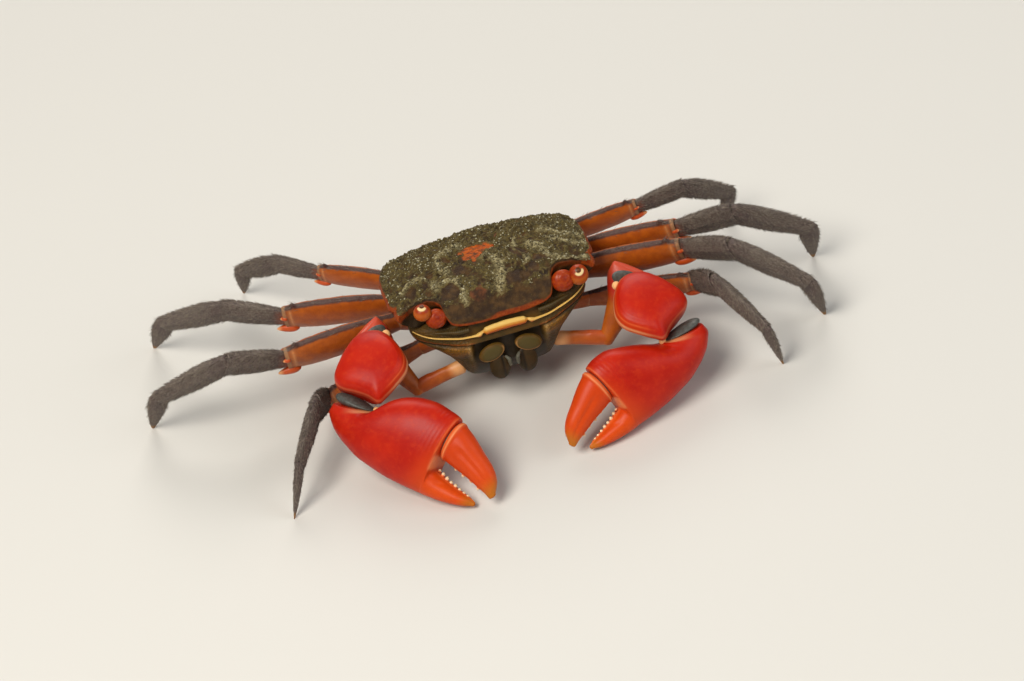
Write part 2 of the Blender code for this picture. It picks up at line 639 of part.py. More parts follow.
def make_leg(key, group, parent):
    number = int(key[1])
    side = SIDES[key[0]]
    axes = body_axes()
    lean = Vector((0.0, -sin(LEG_LEAN), cos(LEG_LEAN)))
    knee = Vector(KNEES[key])
    tip = Vector((TIPS[key][0], TIPS[key][1], 0.0))
    coxa = axes @ mirrored(COXA[number], side)
    hip = knee - (knee - axes @ mirrored(HIP_REACH[number], side)).normalized() * MERUS_LENGTH[number]
    joints = [coxa, hip, knee, *leg_joints(knee, tip, OUTER_LENGTHS[number], lean), tip]
    directions = [(b - a).normalized() for a, b in zip(joints, joints[1:])]
    body_side = axes.to_3x3() @ Vector((side, 0.0, 0.0))
    normals = [body_side] + [(a + b).normalized() for a, b in zip(directions, directions[1:])]
    for i, kind in enumerate(SEGMENT_RIBS):
        mesh, matrix = leg_segment(kind, joints[i], joints[i + 1], MERUS_BREADTH[number], lean)
        cut_joint(mesh, matrix, joints[i], normals[i], False)
        if kind == "dactyl":
            cut_floor(mesh, matrix)
        else:
            cut_joint(mesh, matrix, joints[i + 1], normals[i + 1], True)
        as_node("leg_%s_%s" % (key, kind), mesh, SEGMENT_FINISHES[kind], group, parent, matrix)


# Claws

def tooth(x, y, size, upwards):
    """A blunt cone on the edge of a finger, its root sunk in."""
    mesh = bmesh.new()
    bmesh.ops.create_cone(mesh, cap_ends=True, segments=6, radius1=size * 0.62, radius2=size * 0.2,
                          depth=size * 1.9)
    turn = Matrix.Rotation(radians(-90.0 if upwards else 90.0), 3, "X")
    bmesh.ops.rotate(mesh, matrix=turn, verts=mesh.verts)
    bmesh.ops.translate(mesh, vec=(x, y, 0.0), verts=mesh.verts)
    return mesh


def toothed(mesh, teeth, edge, size, upwards):
    """A finger with its teeth along one edge, whose points are in order."""
    cones = []
    for x, tall in teeth:
        cones.append(tooth(x * size, interpolated(edge, x * size, 1), tall * size, upwards))
    return combined(mesh, cones, "UNION")


def make_chela(name, claw, matrix, group, parent):
    size = claw["size"]

    def scaled(ribs):
        return [(Vector(low) * size, Vector(high) * size, half * size) for low, high, half in ribs]

    palm_ribs = list(PALM_RIBS)
    for i, drop in enumerate(claw["drops"]):
        low, high, half = palm_ribs[i]
        palm_ribs[i] = (low, (high[0], high[1] - drop), half)
    palm_ribs, finger_ribs = scaled(palm_ribs), scaled(FINGER_RIBS)
    fixed_edge = [tuple(high) for _, high, _ in palm_ribs[FIXED_FINGER_START:]]
    moving_edge = [tuple(low) for low, _, _ in finger_ribs]
    palm = toothed(ribbed(palm_ribs, 14), FIXED_TEETH, fixed_edge, size, True)
    finger = toothed(ribbed(finger_ribs, 12), MOVING_TEETH, moving_edge, size, False)
    for kind, mesh, finish in (("palm", palm, "claw_red"), ("finger", finger, "finger_orange")):
        cut_floor(mesh, matrix)
        as_node("claw_%s_%s" % (name, kind), mesh, finish, group, parent, matrix)


def make_carpus(name, claw, wrist, wrist_normal, elbow, elbow_normal, group, parent):
    """The wrist plate between the merus and the palm, domed above and drawn in below."""
    matrix = frame_matrix(*claw["carpus"])
    up = 1 if matrix.col[2].z > 0 else -1
    rings = []
    for share, rise, slide in CARPUS_RINGS:
        ring = []
        for corner in CARPUS_OUTLINE:
            edge = Vector(corner)
            rounded = edge.normalized() * CARPUS_ROUND
            x, y = rounded.lerp(edge, share ** 2) * share
            ring.append(Vector((x + slide, y - slide, rise * up)))
        rings.append(ring)
    block = skin_rings(rings)
    cut_joint(block, matrix, wrist, wrist_normal, False)
    cut_joint(block, matrix, elbow, elbow_normal, False)
    as_node("claw_%s_carpus" % name, block, "claw_red", group, parent, matrix)


def make_claw_merus(name, matrix, length, half, cuts, group, parent):
    """The arm behind the wrist plate, which ends in a lobe on its inner side."""
    ribs = []
    for (outer, inner), (outer_half, inner_half), thick in CLAW_MERUS_RIBS:
        ribs.append(((length * outer, -half * outer_half), (length * inner, half * inner_half), thick))
    merus = ribbed(ribs, 12, 1, 2.0)
    for joint, normal, keep_before in cuts:
        cut_joint(merus, matrix, joint, normal, keep_before)
    as_node("claw_%s_merus" % name, merus, "leg_orange", group, parent, matrix)


def make_claw(name, group, parent):
    side = SIDES[name]
    claw = CLAWS[name]
    matrix = frame_matrix(claw["origin"], claw["along"], claw["height"])
    wrist_low, wrist_high = (Vector((x, y, 0.0)) * claw["size"] for x, y in WRIST)
    run = (wrist_high - wrist_low).normalized()
    wrist = matrix @ ((wrist_low + wrist_high) / 2)
    wrist_normal = matrix.to_3x3() @ Vector((-run.y, run.x, 0.0))
    make_chela(name, claw, matrix, group, parent)

    outer, inner = (Vector(point) for point in claw["merus_end"])
    end = (outer + inner) / 2
    start = mirrored(CLAW_MERUS_START, side)
    coxa = body_axes() @ mirrored(CLAW_COXA, side)
    merus_axes = frame_matrix(start, end - start, inner - outer)
    elbow_normal = merus_axes.col[2].to_3d()
    if elbow_normal.y > 0:
        elbow_normal = -elbow_normal
    elbow = end + elbow_normal * CLAW_MERUS_HALF
    make_carpus(name, claw, wrist, wrist_normal, elbow, elbow_normal, group, parent)

    hip_normal = ((end - start).normalized() + (start - coxa).normalized()).normalized()
    cuts = ((start, hip_normal, False), (elbow, elbow_normal, True))
    make_claw_merus(name, merus_axes, (end - start).length, (inner - outer).length / 2, cuts, group, parent)

    base_axes = frame_matrix(coxa, start - coxa, -DOWN)
    high, half = CLAW_BASE_RADII
    places = (-CLAW_OVERRUN, (start - coxa).length + CLAW_OVERRUN)
    base = ribbed([((place, -high), (place, high), half) for place in places], 10, 1, 2.0)
    cut_joint(base, base_axes, coxa, body_axes().to_3x3() @ Vector((side, 0.0, 0.0)), False)
    cut_joint(base, base_axes, start, hip_normal, True)
    as_node("claw_%s_base" % name, base, "leg_orange", group, parent, base_axes)


def stand_on_origin(root, group):
    """Moves the whole animal so that the middle of its outline on the floor is the origin."""
    bpy.context.view_layer.update()
    points = []
    for obj in group.objects:
        if obj.type == "MESH":
            points.extend(obj.matrix_world @ vertex.co for vertex in obj.data.vertices)
    middle_x = (min(p.x for p in points) + max(p.x for p in points)) / 2
    middle_y = (min(p.y for p in points) + max(p.y for p in points)) / 2
    root.location = (-middle_x, -middle_y, 0.0)


def main():
    clear_scene()
    group = make_collection("mangrove_crab")
    root = bpy.data.objects.new("stance", None)
    group.objects.link(root)
    body = bpy.data.objects.new("body_axes", None)
    group.objects.link(body)
    body.parent = root
    axes = body_axes()
    axes.translation *= MM
    body.matrix_local = axes
    make_carapace(group, body)
    make_thorax(group, body)
    make_mouth_rim(group, body)
    make_abdomen(group, body)
    make_mouthparts(group, body)
    make_eyes(group, body)
    for key in KNEES:
        make_leg(key, group, root)
    for name in CLAWS:
        make_claw(name, group, root)
    stand_on_origin(root, group)


main()
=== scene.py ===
"""Looks of a Fourmanoir's mangrove crab (Neosarmatium fourmanoiri), a still, life-size model.

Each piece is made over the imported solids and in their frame. Shapes are drawn in millimetres, either in
the body's axes (x across, y backwards, z up from the line between the orbital teeth) or in the floor's
axes, and are put into the frame, in metres, when a piece is finished. The animal faces -Y.
"""
from math import atan2, cos, pi, radians, sin

import bmesh
import bpy
import numpy as np
from bpy.props import FloatProperty, FloatVectorProperty, IntProperty, PointerProperty
from mathutils import Matrix, Vector


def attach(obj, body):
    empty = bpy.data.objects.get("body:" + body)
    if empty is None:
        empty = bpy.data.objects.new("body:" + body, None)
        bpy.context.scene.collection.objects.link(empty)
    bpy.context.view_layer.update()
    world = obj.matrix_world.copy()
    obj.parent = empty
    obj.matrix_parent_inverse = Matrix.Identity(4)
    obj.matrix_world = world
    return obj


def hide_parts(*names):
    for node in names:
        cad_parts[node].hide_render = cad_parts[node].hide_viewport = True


bl_info = {
    "name": "Mangrove crab",
    "version": (1, 0, 0),
    "blender": (4, 5, 0),
    "location": "3D View > Sidebar > Crab",
    "description": "Builds the shell, claws, legs and head of a life-size mangrove crab",
    "category": "Object",
}

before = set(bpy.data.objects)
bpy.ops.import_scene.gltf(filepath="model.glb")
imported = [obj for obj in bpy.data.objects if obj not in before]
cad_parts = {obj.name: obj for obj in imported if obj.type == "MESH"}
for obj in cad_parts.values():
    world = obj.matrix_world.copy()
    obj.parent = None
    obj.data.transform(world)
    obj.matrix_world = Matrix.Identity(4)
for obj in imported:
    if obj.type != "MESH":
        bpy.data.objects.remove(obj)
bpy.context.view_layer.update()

MM = 0.001
SIDES = {"r": -1, "l": 1}

# Body, in its own axes
ORBITAL_BREADTH = 33.0
CARAPACE_LENGTH = 28.8
FRONT_Y = -2.8
REAR_Y = FRONT_Y + CARAPACE_LENGTH
ORBITAL_LINE_HEIGHT = 22.0
BODY_PITCH = radians(8.0)
BODY_YAW = radians(2.5)
SHELL_DEPTH = 5.6
FRONT_DROP = 3.7
UNDERCUT_BACK = 4.4

# Outline of the shell on its left half, front to rear, in stretches that meet at the corners of the teeth
SHELL_OUTLINE = (
    ((0.0, 0.002), (0.06, 0.001), (0.194, 0.0), (0.388, 0.003), (0.50, 0.012), (0.545, 0.036), (0.57, 0.075),
     (0.62, 0.112), (0.703, 0.132), (0.80, 0.131), (0.88, 0.118), (0.945, 0.092), (1.0, 0.068)),
    ((1.0, 0.068), (1.022, 0.1), (1.018, 0.15), (0.992, 0.189)),
    ((0.992, 0.189), (1.03, 0.205), (1.05, 0.232)),
    ((1.05, 0.232), (1.049, 0.306), (1.055, 0.41), (1.042, 0.531), (0.994, 0.67), (0.897, 0.792),
     (0.752, 0.896), (0.57, 0.965), (0.303, 0.993), (0.0, 1.0)),
)
SHELL_CENTRE = np.array((0.0, 11.0))
HALF_SHELL = 17.4
DOME_HEIGHT = 2.7
DOME_CREST = 9.0
REAR_FALL = 7.4
FRONT_FALL = 3.2
BROW_Y = -0.7
BROW_HALF = 9.8
BROW_FALL = 3.0
WALL_ROWS = ((1.0, 0.0), (0.992, 0.09), (0.97, 0.3), (0.93, 0.55), (0.87, 0.8), (0.78, 0.97), (0.7, 1.0))
SOCKET_CENTRE = np.array((12.2, -1.2, -2.0))
SOCKET_RADII = np.array((4.3, 3.0, 2.6))
# Swellings of the shell: centre, half widths, rise
SHELL_SWELLINGS = (
    ((0.0, 5.5), (5.5, 4.5), 0.5), ((0.0, 17.0), (4.0, 3.6), 0.5), ((10.5, 13.0), (4.6, 6.5), 0.4),
    ((3.3, 0.2), (2.4, 1.7), 0.55), ((6.9, 1.2), (1.7, 1.7), 0.5), ((16.2, 0.4), (1.8, 2.2), 0.4),
    ((9.6, 3.4), (1.6, 1.5), 0.3), ((12.6, 5.4), (2.4, 1.6), 0.3), ((6.0, 10.0), (2.2, 3.4), 0.3),
)
# Furrows between the regions: points of one side, half width, depth
SHELL_FURROWS = (
    (((0.0, -1.4), (0.0, 0.5), (0.0, 3.0)), 0.45, 0.35),
    (((5.1, -0.8), (5.2, 1.4), (4.4, 2.8)), 0.4, 0.35),
    (((2.6, 12.2), (4.6, 11.0), (5.6, 8.0), (8.2, 5.2), (11.8, 3.2), (16.2, 2.6)), 0.6, 0.45),
    (((2.6, 12.2), (2.9, 14.6), (4.2, 18.0), (5.2, 21.0)), 0.6, 0.4),
    (((0.0, 12.9), (1.4, 12.9), (2.6, 12.2)), 0.5, 0.3),
    (((9.4, 9.4), (12.0, 8.4), (16.6, 7.8)), 0.45, 0.25),
)
# Where no silt lies: centre, half widths
BARE_PLACES = (
    ((-0.5, 9.7), (3.1, 1.8)), ((-1.6, 7.9), (1.8, 2.2)), ((-6.9, 1.1), (2.1, 1.7)), ((3.9, 0.2), (2.7, 1.6)),
    ((7.3, 0.9), (1.3, 1.6)), ((-2.9, -0.6), (2.0, 1.2)), ((8.4, 3.1), (1.3, 1.0)),
    ((-10.4, 4.6), (1.2, 1.4)), ((5.8, 5.6), (1.6, 1.8)), ((-4.2, 5.0), (1.5, 1.6)),
    ((-13.3, 4.2), (1.3, 1.1)),
)
ORANGE_PLACES = (((-0.5, 9.7), (3.0, 1.5)), ((-1.6, 7.9), (1.6, 2.0)))
RUST_PLACES = (((-2.8, -0.5), (1.6, 0.9)), ((4.2, 13.0), (1.6, 1.0)), ((8.0, 16.5), (2.0, 1.2)))
# Ropes of thicker silt: points, half width
SILT_ROPES = (
    (((8.0, 7.2), (9.2, 5.5), (10.3, 3.2), (12.4, 2.1), (15.4, 1.2)), 0.6),
    (((-9.2, 2.0), (-8.6, 3.3), (-7.2, 3.6), (-5.7, 2.6), (-5.0, 0.6), (-5.6, -1.0)), 0.5),
    (((0.3, 6.4), (1.8, 4.2), (1.6, 1.8), (0.6, -0.4)), 0.8),
    (((-14.6, 5.4), (-12.6, 6.4), (-10.8, 6.3), (-9.4, 4.6)), 0.5),
    (((11.0, 8.0), (13.0, 6.6), (16.2, 5.6)), 0.5),
    (((10.4, 10.6), (13.2, 9.2), (16.4, 8.6)), 0.45),
    (((5.6, 9.4), (5.4, 6.4), (6.6, 3.8), (5.9, 2.2)), 0.45),
    (((-3.2, 12.6), (-6.4, 11.0), (-7.4, 8.0), (-6.4, 5.0)), 0.55),
)

# Cheeks and mouth, as level sections: z, half width, front
CHEEK_ROWS = (
    (-4.0, 15.0, -1.3), (-5.6, 14.8, -1.7), (-7.2, 13.3, -2.1), (-9.0, 11.2, -2.0), (-11.0, 9.6, -1.4),
    (-13.0, 8.4, -0.6), (-15.0, 7.4, 0.8), (-16.0, 6.6, 2.2),
)
CHEEK_SQUARENESS = 3.2
MOUTH_HALF = 6.0
MOUTH_TOP = -7.9
MOUTH_FACE = -0.7
# Lower rim of the orbits and bar over the mouth: x, z, half height, half thickness
MOUTH_RIM = (
    (0.0, -5.45, 0.76, 0.5), (3.2, -5.6, 0.68, 0.48), (3.75, -5.7, 0.22, 0.3), (4.3, -5.95, 0.4, 0.4),
    (5.0, -6.05, 0.2, 0.3), (6.8, -6.0, 0.14, 0.24), (9.6, -5.5, 0.13, 0.22), (11.9, -5.0, 0.11, 0.2),
    (13.6, -4.4, 0.1, 0.18), (14.5, -4.0, 0.07, 0.14),
)
# A feeler: x, z, radius
FEELER = ((6.0, -4.75, 0.4), (7.6, -4.7, 0.42), (9.2, -4.5, 0.28), (11.2, -4.3, 0.12))
# Outer jaw legs on the left side: places across, out of the mouth's face and up, half sizes
BLADE_CENTRE, BLADE_RADII, BLADE_TILT = (3.1, MOUTH_FACE - 1.0, -10.2), (2.3, 0.75, 1.45), radians(17.0)
STEM_CENTRE, STEM_RADII = (2.3, MOUTH_FACE - 0.9, -13.3), (1.7, 0.65, 2.3)
PALP = ((1.1, -2.4, -11.3), (0.7, -2.8, -11.8), (0.65, -2.75, -12.9))
STERNUM_HALF = 8.4
STERNUM_REAR = 24.8
STERNUM_DEPTH = 16.2
STERNUM_SLANT = -13.6
STERNUM_GROOVES = (4.0, 8.6, 13.0, 17.4, 21.4)
# The tail's path and breadth: y, z, half width
ABDOMEN_ROWS = (
    (25.75, -7.4, 5.6), (25.6, -12.4, 5.0), (24.9, -15.8, 4.4), (22.8, -17.15, 4.0), (17.4, -17.15, 3.2),
    (11.0, -17.15, 2.2), (7.6, -17.15, 1.0),
)
ABDOMEN_THICKNESS = 1.3
ABDOMEN_GROOVES = (0.1, 0.26, 0.4, 0.55, 0.7, 0.85)
EYES = {
    "r": {"stalk": (-10.5, -1.1, -1.55), "stalk_radii": (1.75, 1.35, 1.7), "bulb": (-12.45, -1.3, 0.3),
          "bulb_radii": (1.45, 1.35, 1.4), "gaze": (0.1, -0.25, 1.0), "deep": (0.1, -0.8, 0.55)},
    "l": {"stalk": (10.9, -1.1, -1.4), "stalk_radii": (1.9, 1.4, 1.9), "bulb": (13.6, -1.2, -1.1),
          "bulb_radii": (1.6, 1.35, 1.8), "gaze": (0.0, -0.56, 0.83), "deep": (0.15, -0.8, 0.6)},
}

# Walking legs: coxa and hip in the body's axes, knees and tips in the floor's
MERUS_LENGTH = {2: 17.5, 3: 19.5, 4: 19.3, 5: 15.0}
MERUS_BREADTH = {2: 6.6, 3: 7.8, 4: 7.6, 5: 6.0}
OUTER_LENGTHS = {2: (9.0, 11.0, 9.0), 3: (10.5, 13.5, 10.5), 4: (10.5, 14.0, 10.5), 5: (8.5, 11.0, 8.5)}
LEG_THICKNESS = 0.46
LEG_LEAN = radians(25.0)
COXA = {2: (8.9, 7.4, -10.6), 3: (9.1, 11.9, -10.2), 4: (8.9, 16.4, -9.8), 5: (8.9, 20.8, -9.4)}
HIP_REACH = {2: (13.2, 9.2, -11.8), 3: (14.0, 12.8, -8.0), 4: (14.0, 17.4, -7.6), 5: (12.6, 23.4, -7.4)}
KNEES = {
    "r2": (-30.8, 3.6, 5.8), "r3": (-35.6, 9.6, 11.6), "r4": (-34.0, 19.8, 12.2), "r5": (-26.4, 28.6, 12.4),
    "l2": (32.3, 3.9, 9.9), "l3": (31.9, 7.0, 14.7), "l4": (32.2, 12.6, 14.6), "l5": (27.3, 22.8, 13.4),
}
TIPS = {
    "r2": (-40.7, -16.5), "r3": (-60.0, 15.5), "r4": (-57.0, 36.5), "r5": (-40.0, 45.0),
    "l2": (42.5, -10.5), "l3": (52.0, -1.0), "l4": (54.0, 14.5), "l5": (43.0, 31.0),
}
SEGMENT_RIBS = {
    "base": ((-0.2, 0.62), (0.2, 0.66), (0.6, 0.6), (1.0, 0.64)),
    "merus": ((-0.04, 0.60), (0.06, 0.70), (0.25, 0.90), (0.5, 1.0), (0.75, 0.96), (0.92, 0.84), (1.0, 0.76)),
    "carpus": ((-0.05, 0.55), (0.1, 0.62), (0.45, 0.76), (0.8, 0.80), (1.0, 0.74)),
    "propodus": ((-0.06, 0.60), (0.2, 0.74), (0.55, 0.70), (0.85, 0.56), (1.0, 0.50)),
    "dactyl": ((-0.06, 0.42), (0.2, 0.44), (0.5, 0.34), (0.8, 0.20), (0.95, 0.10), (1.0, 0.05)),
}
LEG_KINDS = tuple(SEGMENT_RIBS)
BRISTLE_LEAN = 1.7
# Seeds of the random draws
SILT_SEED, BRISTLE_SEED = 4, 20
# Knee lobes: side (1 in front, -1 behind), height, size, reach
KNEE_LOBES = ((1, -0.78, 1.0, 2.0), (-1, -0.6, 0.8, 1.2), (1, 0.4, 0.62, 1.1), (-1, 0.4, 0.6, 1.1))

# Claws, in the plane of the chela: x along the palm, y towards the movable finger
PALM_RIBS = (
    ((-6.15, 2.06), (1.1, 4.66), 2.4), ((-6.2, 0.9), (1.2, 4.8), 2.9), ((-5.2, -0.4), (1.35, 5.1), 3.3),
    ((-3.4, -1.7), (1.6, 5.9), 3.7), ((-0.8, -2.7), (2.3, 7.4), 4.1), ((2.8, -3.5), (4.4, 9.4), 4.4),
    ((6.8, -3.6), (7.4, 10.9), 4.4), ((10.6, -3.3), (10.4, 11.5), 4.1), ((12.8, -3.0), (12.8, 11.5), 3.8),
    ((13.8, -2.8), (14.3, 11.2), 3.4), ((14.4, -2.7), (14.5, 2.3), 2.7), ((16.8, -2.3), (16.7, 1.4), 2.2),
    ((19.4, -1.5), (19.4, 1.1), 1.7), ((21.6, -0.6), (21.5, 1.0), 1.1), ((22.6, 0.0), (22.5, 0.8), 0.4),
)
FIXED_FINGER_START = 10
FINGER_RIBS = (
    ((14.8, 4.2), (14.95, 10.9), 2.6), ((16.6, 4.0), (17.4, 10.0), 2.4), ((19.1, 3.8), (20.2, 8.6), 2.0),
    ((21.5, 3.4), (22.9, 7.2), 1.6), ((23.6, 3.0), (24.5, 5.6), 1.0), ((24.6, 2.7), (25.1, 4.0), 0.5),
)
# Teeth: place along the finger, height
FIXED_TEETH = ((15.1, 0.6), (15.9, 1.0), (16.8, 1.2), (17.7, 0.9), (18.6, 1.0), (19.5, 0.8), (20.4, 0.6),
               (21.2, 0.5))
MOVING_TEETH = ((17.4, 0.5), (19.0, 0.7), (20.6, 0.5), (22.2, 0.6))
WRIST = ((-6.2, 2.2), (1.1, 4.8))
CARPUS_ROUND = 5.6
CARPUS_REACH = 5.8
WRIST_TILT = radians(5.0)
# Pale knobs of the wrist, from its middle along it, and of the elbow, on the wrist plate
WRIST_KNOB, WRIST_KNOB_SIZE = 3.7, 0.6
ELBOW_KNOB, ELBOW_KNOB_SIZE = (-5.2, -2.2, -0.3), 0.7
# Skins of the chela's joints: middle and half sizes, in the chela's axes and along the wrist
FINGER_SKIN = ((14.5, 7.4, 0.0), (0.6, 3.0, 2.4))
WRIST_SKIN_RADII = (3.6, 1.0, 2.0)
# The wrist plate: outline of its upper face, then rings over and under it: size, rise, slide
CARPUS_OUTLINE = (
    (-4.9, -3.2), (-3.6, -4.9), (-1.6, -5.8), (0.8, -5.6), (3.2, -5.0), (5.4, -4.1), (6.6, -2.8), (6.7, -1.2),
    (5.9, 1.0), (5.3, 3.2), (5.1, 5.5), (3.4, 5.8), (1.0, 5.8), (-1.6, 5.5), (-3.4, 4.2), (-4.5, 1.8),
    (-5.1, -0.8),
)
CARPUS_RINGS = (
    (0.02, 2.52, 0.0), (0.2, 2.5, 0.0), (0.45, 2.38, 0.0), (0.7, 2.0, 0.0), (0.86, 1.45, 0.0),
    (0.96, 0.6, 0.0), (1.0, -0.4, 0.0), (0.96, -1.4, 0.3), (0.86, -2.9, 0.9), (0.72, -4.4, 1.5),
    (0.5, -5.8, 2.0), (0.25, -6.5, 2.2),
)
# Drops are how far the upper ends of the palm's first ribs lie lower, fold is the height of the wrist's
# skin. The carpus has its place and the ways outwards and forwards, the merus the ends of its far edge
CLAWS = {
    "r": {"size": 1.0, "origin": (-27.07, -9.92, 8.3), "along": (0.634, -0.698, -0.333),
          "height": (0.625, 0.208, 0.753), "drops": (), "fold": 1.0,
          "carpus": ((-21.8, -3.1, 16.2), (-0.817, -0.52, -0.251), (0.569, -0.792, -0.213)),
          "merus_end": ((-25.2, 3.0, 15.0), (-19.9, 5.8, 19.1))},
    "l": {"size": 0.94, "origin": (26.8, -10.8, 7.1), "along": (-0.857, -0.42, -0.297),
          "height": (-0.422, 0.25, 0.871),
          "drops": (0.0, 0.0, 0.3, 1.2, 2.2, 2.2, 1.4, 0.3), "fold": 0.68,
          "carpus": ((22.6, -5.1, 15.4), (0.853, -0.452, -0.262), (-0.506, -0.836, -0.206)),
          "merus_end": ((26.6, 2.2, 14.5), (19.7, 3.8, 18.0))},
}
CLAW_COXA = (8.9, 3.0, -14.1)
CLAW_MERUS_START = (15.9, 0.1, 6.3)
CLAW_MERUS_HALF = 2.0
CLAW_BASE_RADII = (1.3, 1.1)
# Ribs of the merus: shares of its length at both edges, shares of the half breadth there, half thickness
CLAW_MERUS_RIBS = (
    ((-0.03, -0.03), (0.36, 0.24), 1.1), ((0.15, 0.15), (0.46, 0.34), 1.3), ((0.5, 0.5), (0.7, 0.58), 1.7),
    ((0.84, 0.86), (1.0, 1.0), 1.6), ((0.94, 0.97), (0.96, 0.98), 1.1), ((0.98, 1.0), (0.8, 0.95), 0.5),
)

# How finely the larger forms are drawn: steps along them, points round them
SHELL_STEPS, SHELL_COLUMNS, WALL_STEPS = 128, 560, 29
RIM_STEPS, RIM_COLUMNS = 180, 28
ABDOMEN_STEPS, ABDOMEN_COLUMNS = 120, 56
FEELER_STEPS, PALP_STEPS = 60, 24
LEG_STEPS = {"base": 56, "merus": 90, "carpus": 56, "propodus": 56, "dactyl": 70}
LEG_COLUMNS = 56
PALM_STEPS, PALM_COLUMNS = 190, 112
FINGER_STEPS, FINGER_COLUMNS = 120, 88
CARPUS_STEPS, CARPUS_COLUMNS = 130, 150
ARM_STEPS, ARM_COLUMNS = 90, 72
ARM_BASE_STEPS, ARM_BASE_COLUMNS = 60, 60

# Lamps: name, place in metres, side, power, colour
LAMPS = (
    ("key", (-0.30, -0.34, 0.62), 0.36, 5.4, (1.0, 0.95, 0.87)),
    ("fill", (0.55, -0.30, 0.40), 0.5, 1.5, (0.96, 0.98, 1.0)),
    ("back", (0.10, 0.60, 0.50), 0.45, 2.6, (1.0, 0.96, 0.9)),
)
LAMP_TARGET = Vector((0.0, -0.005, 0.012))
SKY_COLOUR, SKY_STRENGTH = (0.95, 0.97, 1.0, 1.0), 0.2

# Camera: the photograph's middle of the orbital line is at this pixel of a picture 1024 wide, 681 high
PICTURE = (1024, 681)
ORBITAL_LINE_PIXEL = (495, 289)
PIXELS_PER_MM = 6.2
CAMERA_DISTANCE = 700.0
CAMERA_ELEVATION = radians(38.0)
CAMERA_AZIMUTH = radians(-3.0)
CAMERA_ROLL = radians(13.0)
SENSOR = 36.0
CAMERA_NEAR = 0.01


def paint(red, green, blue):
    """A colour given in display values from 0 to 255, as Blender's linear one."""
    values = []
    for value in (red, green, blue):
        share = value / 255
        values.append(share / 12.92 if share <= 0.04045 else ((share + 0.055) / 1.055) ** 2.4)
    return (*values, 1.0)


# Numbers and places

def unit(vectors):
    """Vectors at a length of 1."""
    return vectors / np.linalg.norm(vectors, axis=-1, keepdims=True)


def fade(low, high, value):
    """From 0 at low to 1 at high, with soft ends."""
    share = np.clip((value - low) / (high - low), 0.0, 1.0)
    return share * share * (3 - 2 * share)


def bell(value, middle, width):
    """1 at the middle, falling off softly on both sides."""
    return np.exp(-((value - middle) / width) ** 2)


def around(count):
    """Angles spread evenly over a full turn."""
    return 2 * pi * np.arange(count) / count


def squared_off(values, power):
    """A power of values from -1 to 1 that keeps their signs."""
    return np.sign(values) * np.abs(values) ** power


def lengths_along(points):
    """The length of a line from its start to each of its points."""
    return np.concatenate([[0.0], np.cumsum(np.linalg.norm(np.diff(points, axis=0), axis=1))])


def resampled(fine, places):
    """Points of a fine line at given lengths along it."""
    length = lengths_along(fine)
    return np.stack([np.interp(places * length[-1], length, column) for column in fine.T], -1)


def eased(places, values, at):
    """Values between given ones, on a curve that never runs past them."""
    places, values = np.asarray(places, float), np.asarray(values, float)
    step = np.diff(places)[:, None]
    slope = np.diff(values, axis=0) / step
    tangent = np.zeros_like(values)
    tangent[0], tangent[-1] = slope[0], slope[-1]
    before, after = slope[:-1], slope[1:]
    same = before * after > 0
    total = np.where(same, before + after, 1.0)
    tangent[1:-1] = np.where(same, 2 * before * after / total, 0.0)
    i = np.clip(np.searchsorted(places, at, "right") - 1, 0, len(places) - 2)
    size = step[i]
    t = (np.asarray(at, float) - places[i])[:, None] / size
    start, end = values[i], values[i + 1]
    return (start * (1 + 2 * t) * (1 - t) ** 2 + tangent[i] * size * t * (1 - t) ** 2
            + end * t * t * (3 - 2 * t) + tangent[i + 1] * size * t * t * (t - 1))


def along_path(points, count):
    """Evenly spaced places on a smooth curve through points."""
    points = np.asarray(points, float)
    run = lengths_along(points)
    return resampled(eased(run, points, np.linspace(0, run[-1], count * 8)), np.linspace(0, 1, count))


def lattice(cells, seed):
    """A repeatable number from 0 to 1 for each whole-number place."""
    x, y, z = (cells[..., k].astype(np.int64) for k in range(3))
    value = (x * 374761393 + y * 668265263 + z * 1440662683 + seed * 974634777) & 0xFFFFFFFF
    value = ((value ^ (value >> 13)) * 1274126177) & 0xFFFFFFFF
    value = ((value ^ (value >> 15)) * 2246822519) & 0xFFFFFFFF
    return (value ^ (value >> 16)) / 4294967295.0


def noise(points, size, seed=0):
    """Soft noise from -1 to 1 with lumps of a given size."""
    scaled = points / size
    base = np.floor(scaled)
    t = scaled - base
    t = t * t * (3 - 2 * t)
    total = np.zeros(points.shape[:-1])
    for corner in np.ndindex(2, 2, 2):
        weight = np.ones(points.shape[:-1])
        for k in range(3):
            weight = weight * (t[..., k] if corner[k] else 1 - t[..., k])
        total += weight * lattice(base + np.array(corner), seed)
    return total * 2 - 1


def layered(points, size, layers, seed=0):
    """Noise with finer and fainter noise on it."""
    total = sum(noise(points, size / 2 ** k, seed + k) / 2 ** k for k in range(layers))
    return total / (2 - 2 ** (1 - layers))


def cracks(points, size, seed=0):
    """How far a place is from the border between two cells of a given size: 0 on the border."""
    scaled = points / size
    base = np.floor(scaled)
    first = np.full(points.shape[:-1], 9.0)
    second = first.copy()
    for corner in np.ndindex(3, 3, 3):
        cell = base + np.array(corner) - 1
        centre = cell + np.stack([lattice(cell, seed + k) for k in range(3)], -1)
        distance = np.linalg.norm(centre - scaled, axis=-1)
        second = np.minimum(second, np.maximum(first, distance))
        first = np.minimum(first, distance)
    return second - first


def in_place(x, y, centre, radii):
    """1 in the middle of an oval place, 0 at its edge and outside."""
    distance = ((x - centre[0]) / radii[0]) ** 2 + ((y - centre[1]) / radii[1]) ** 2
    return np.maximum(1 - distance / 2, 0.0) ** 2


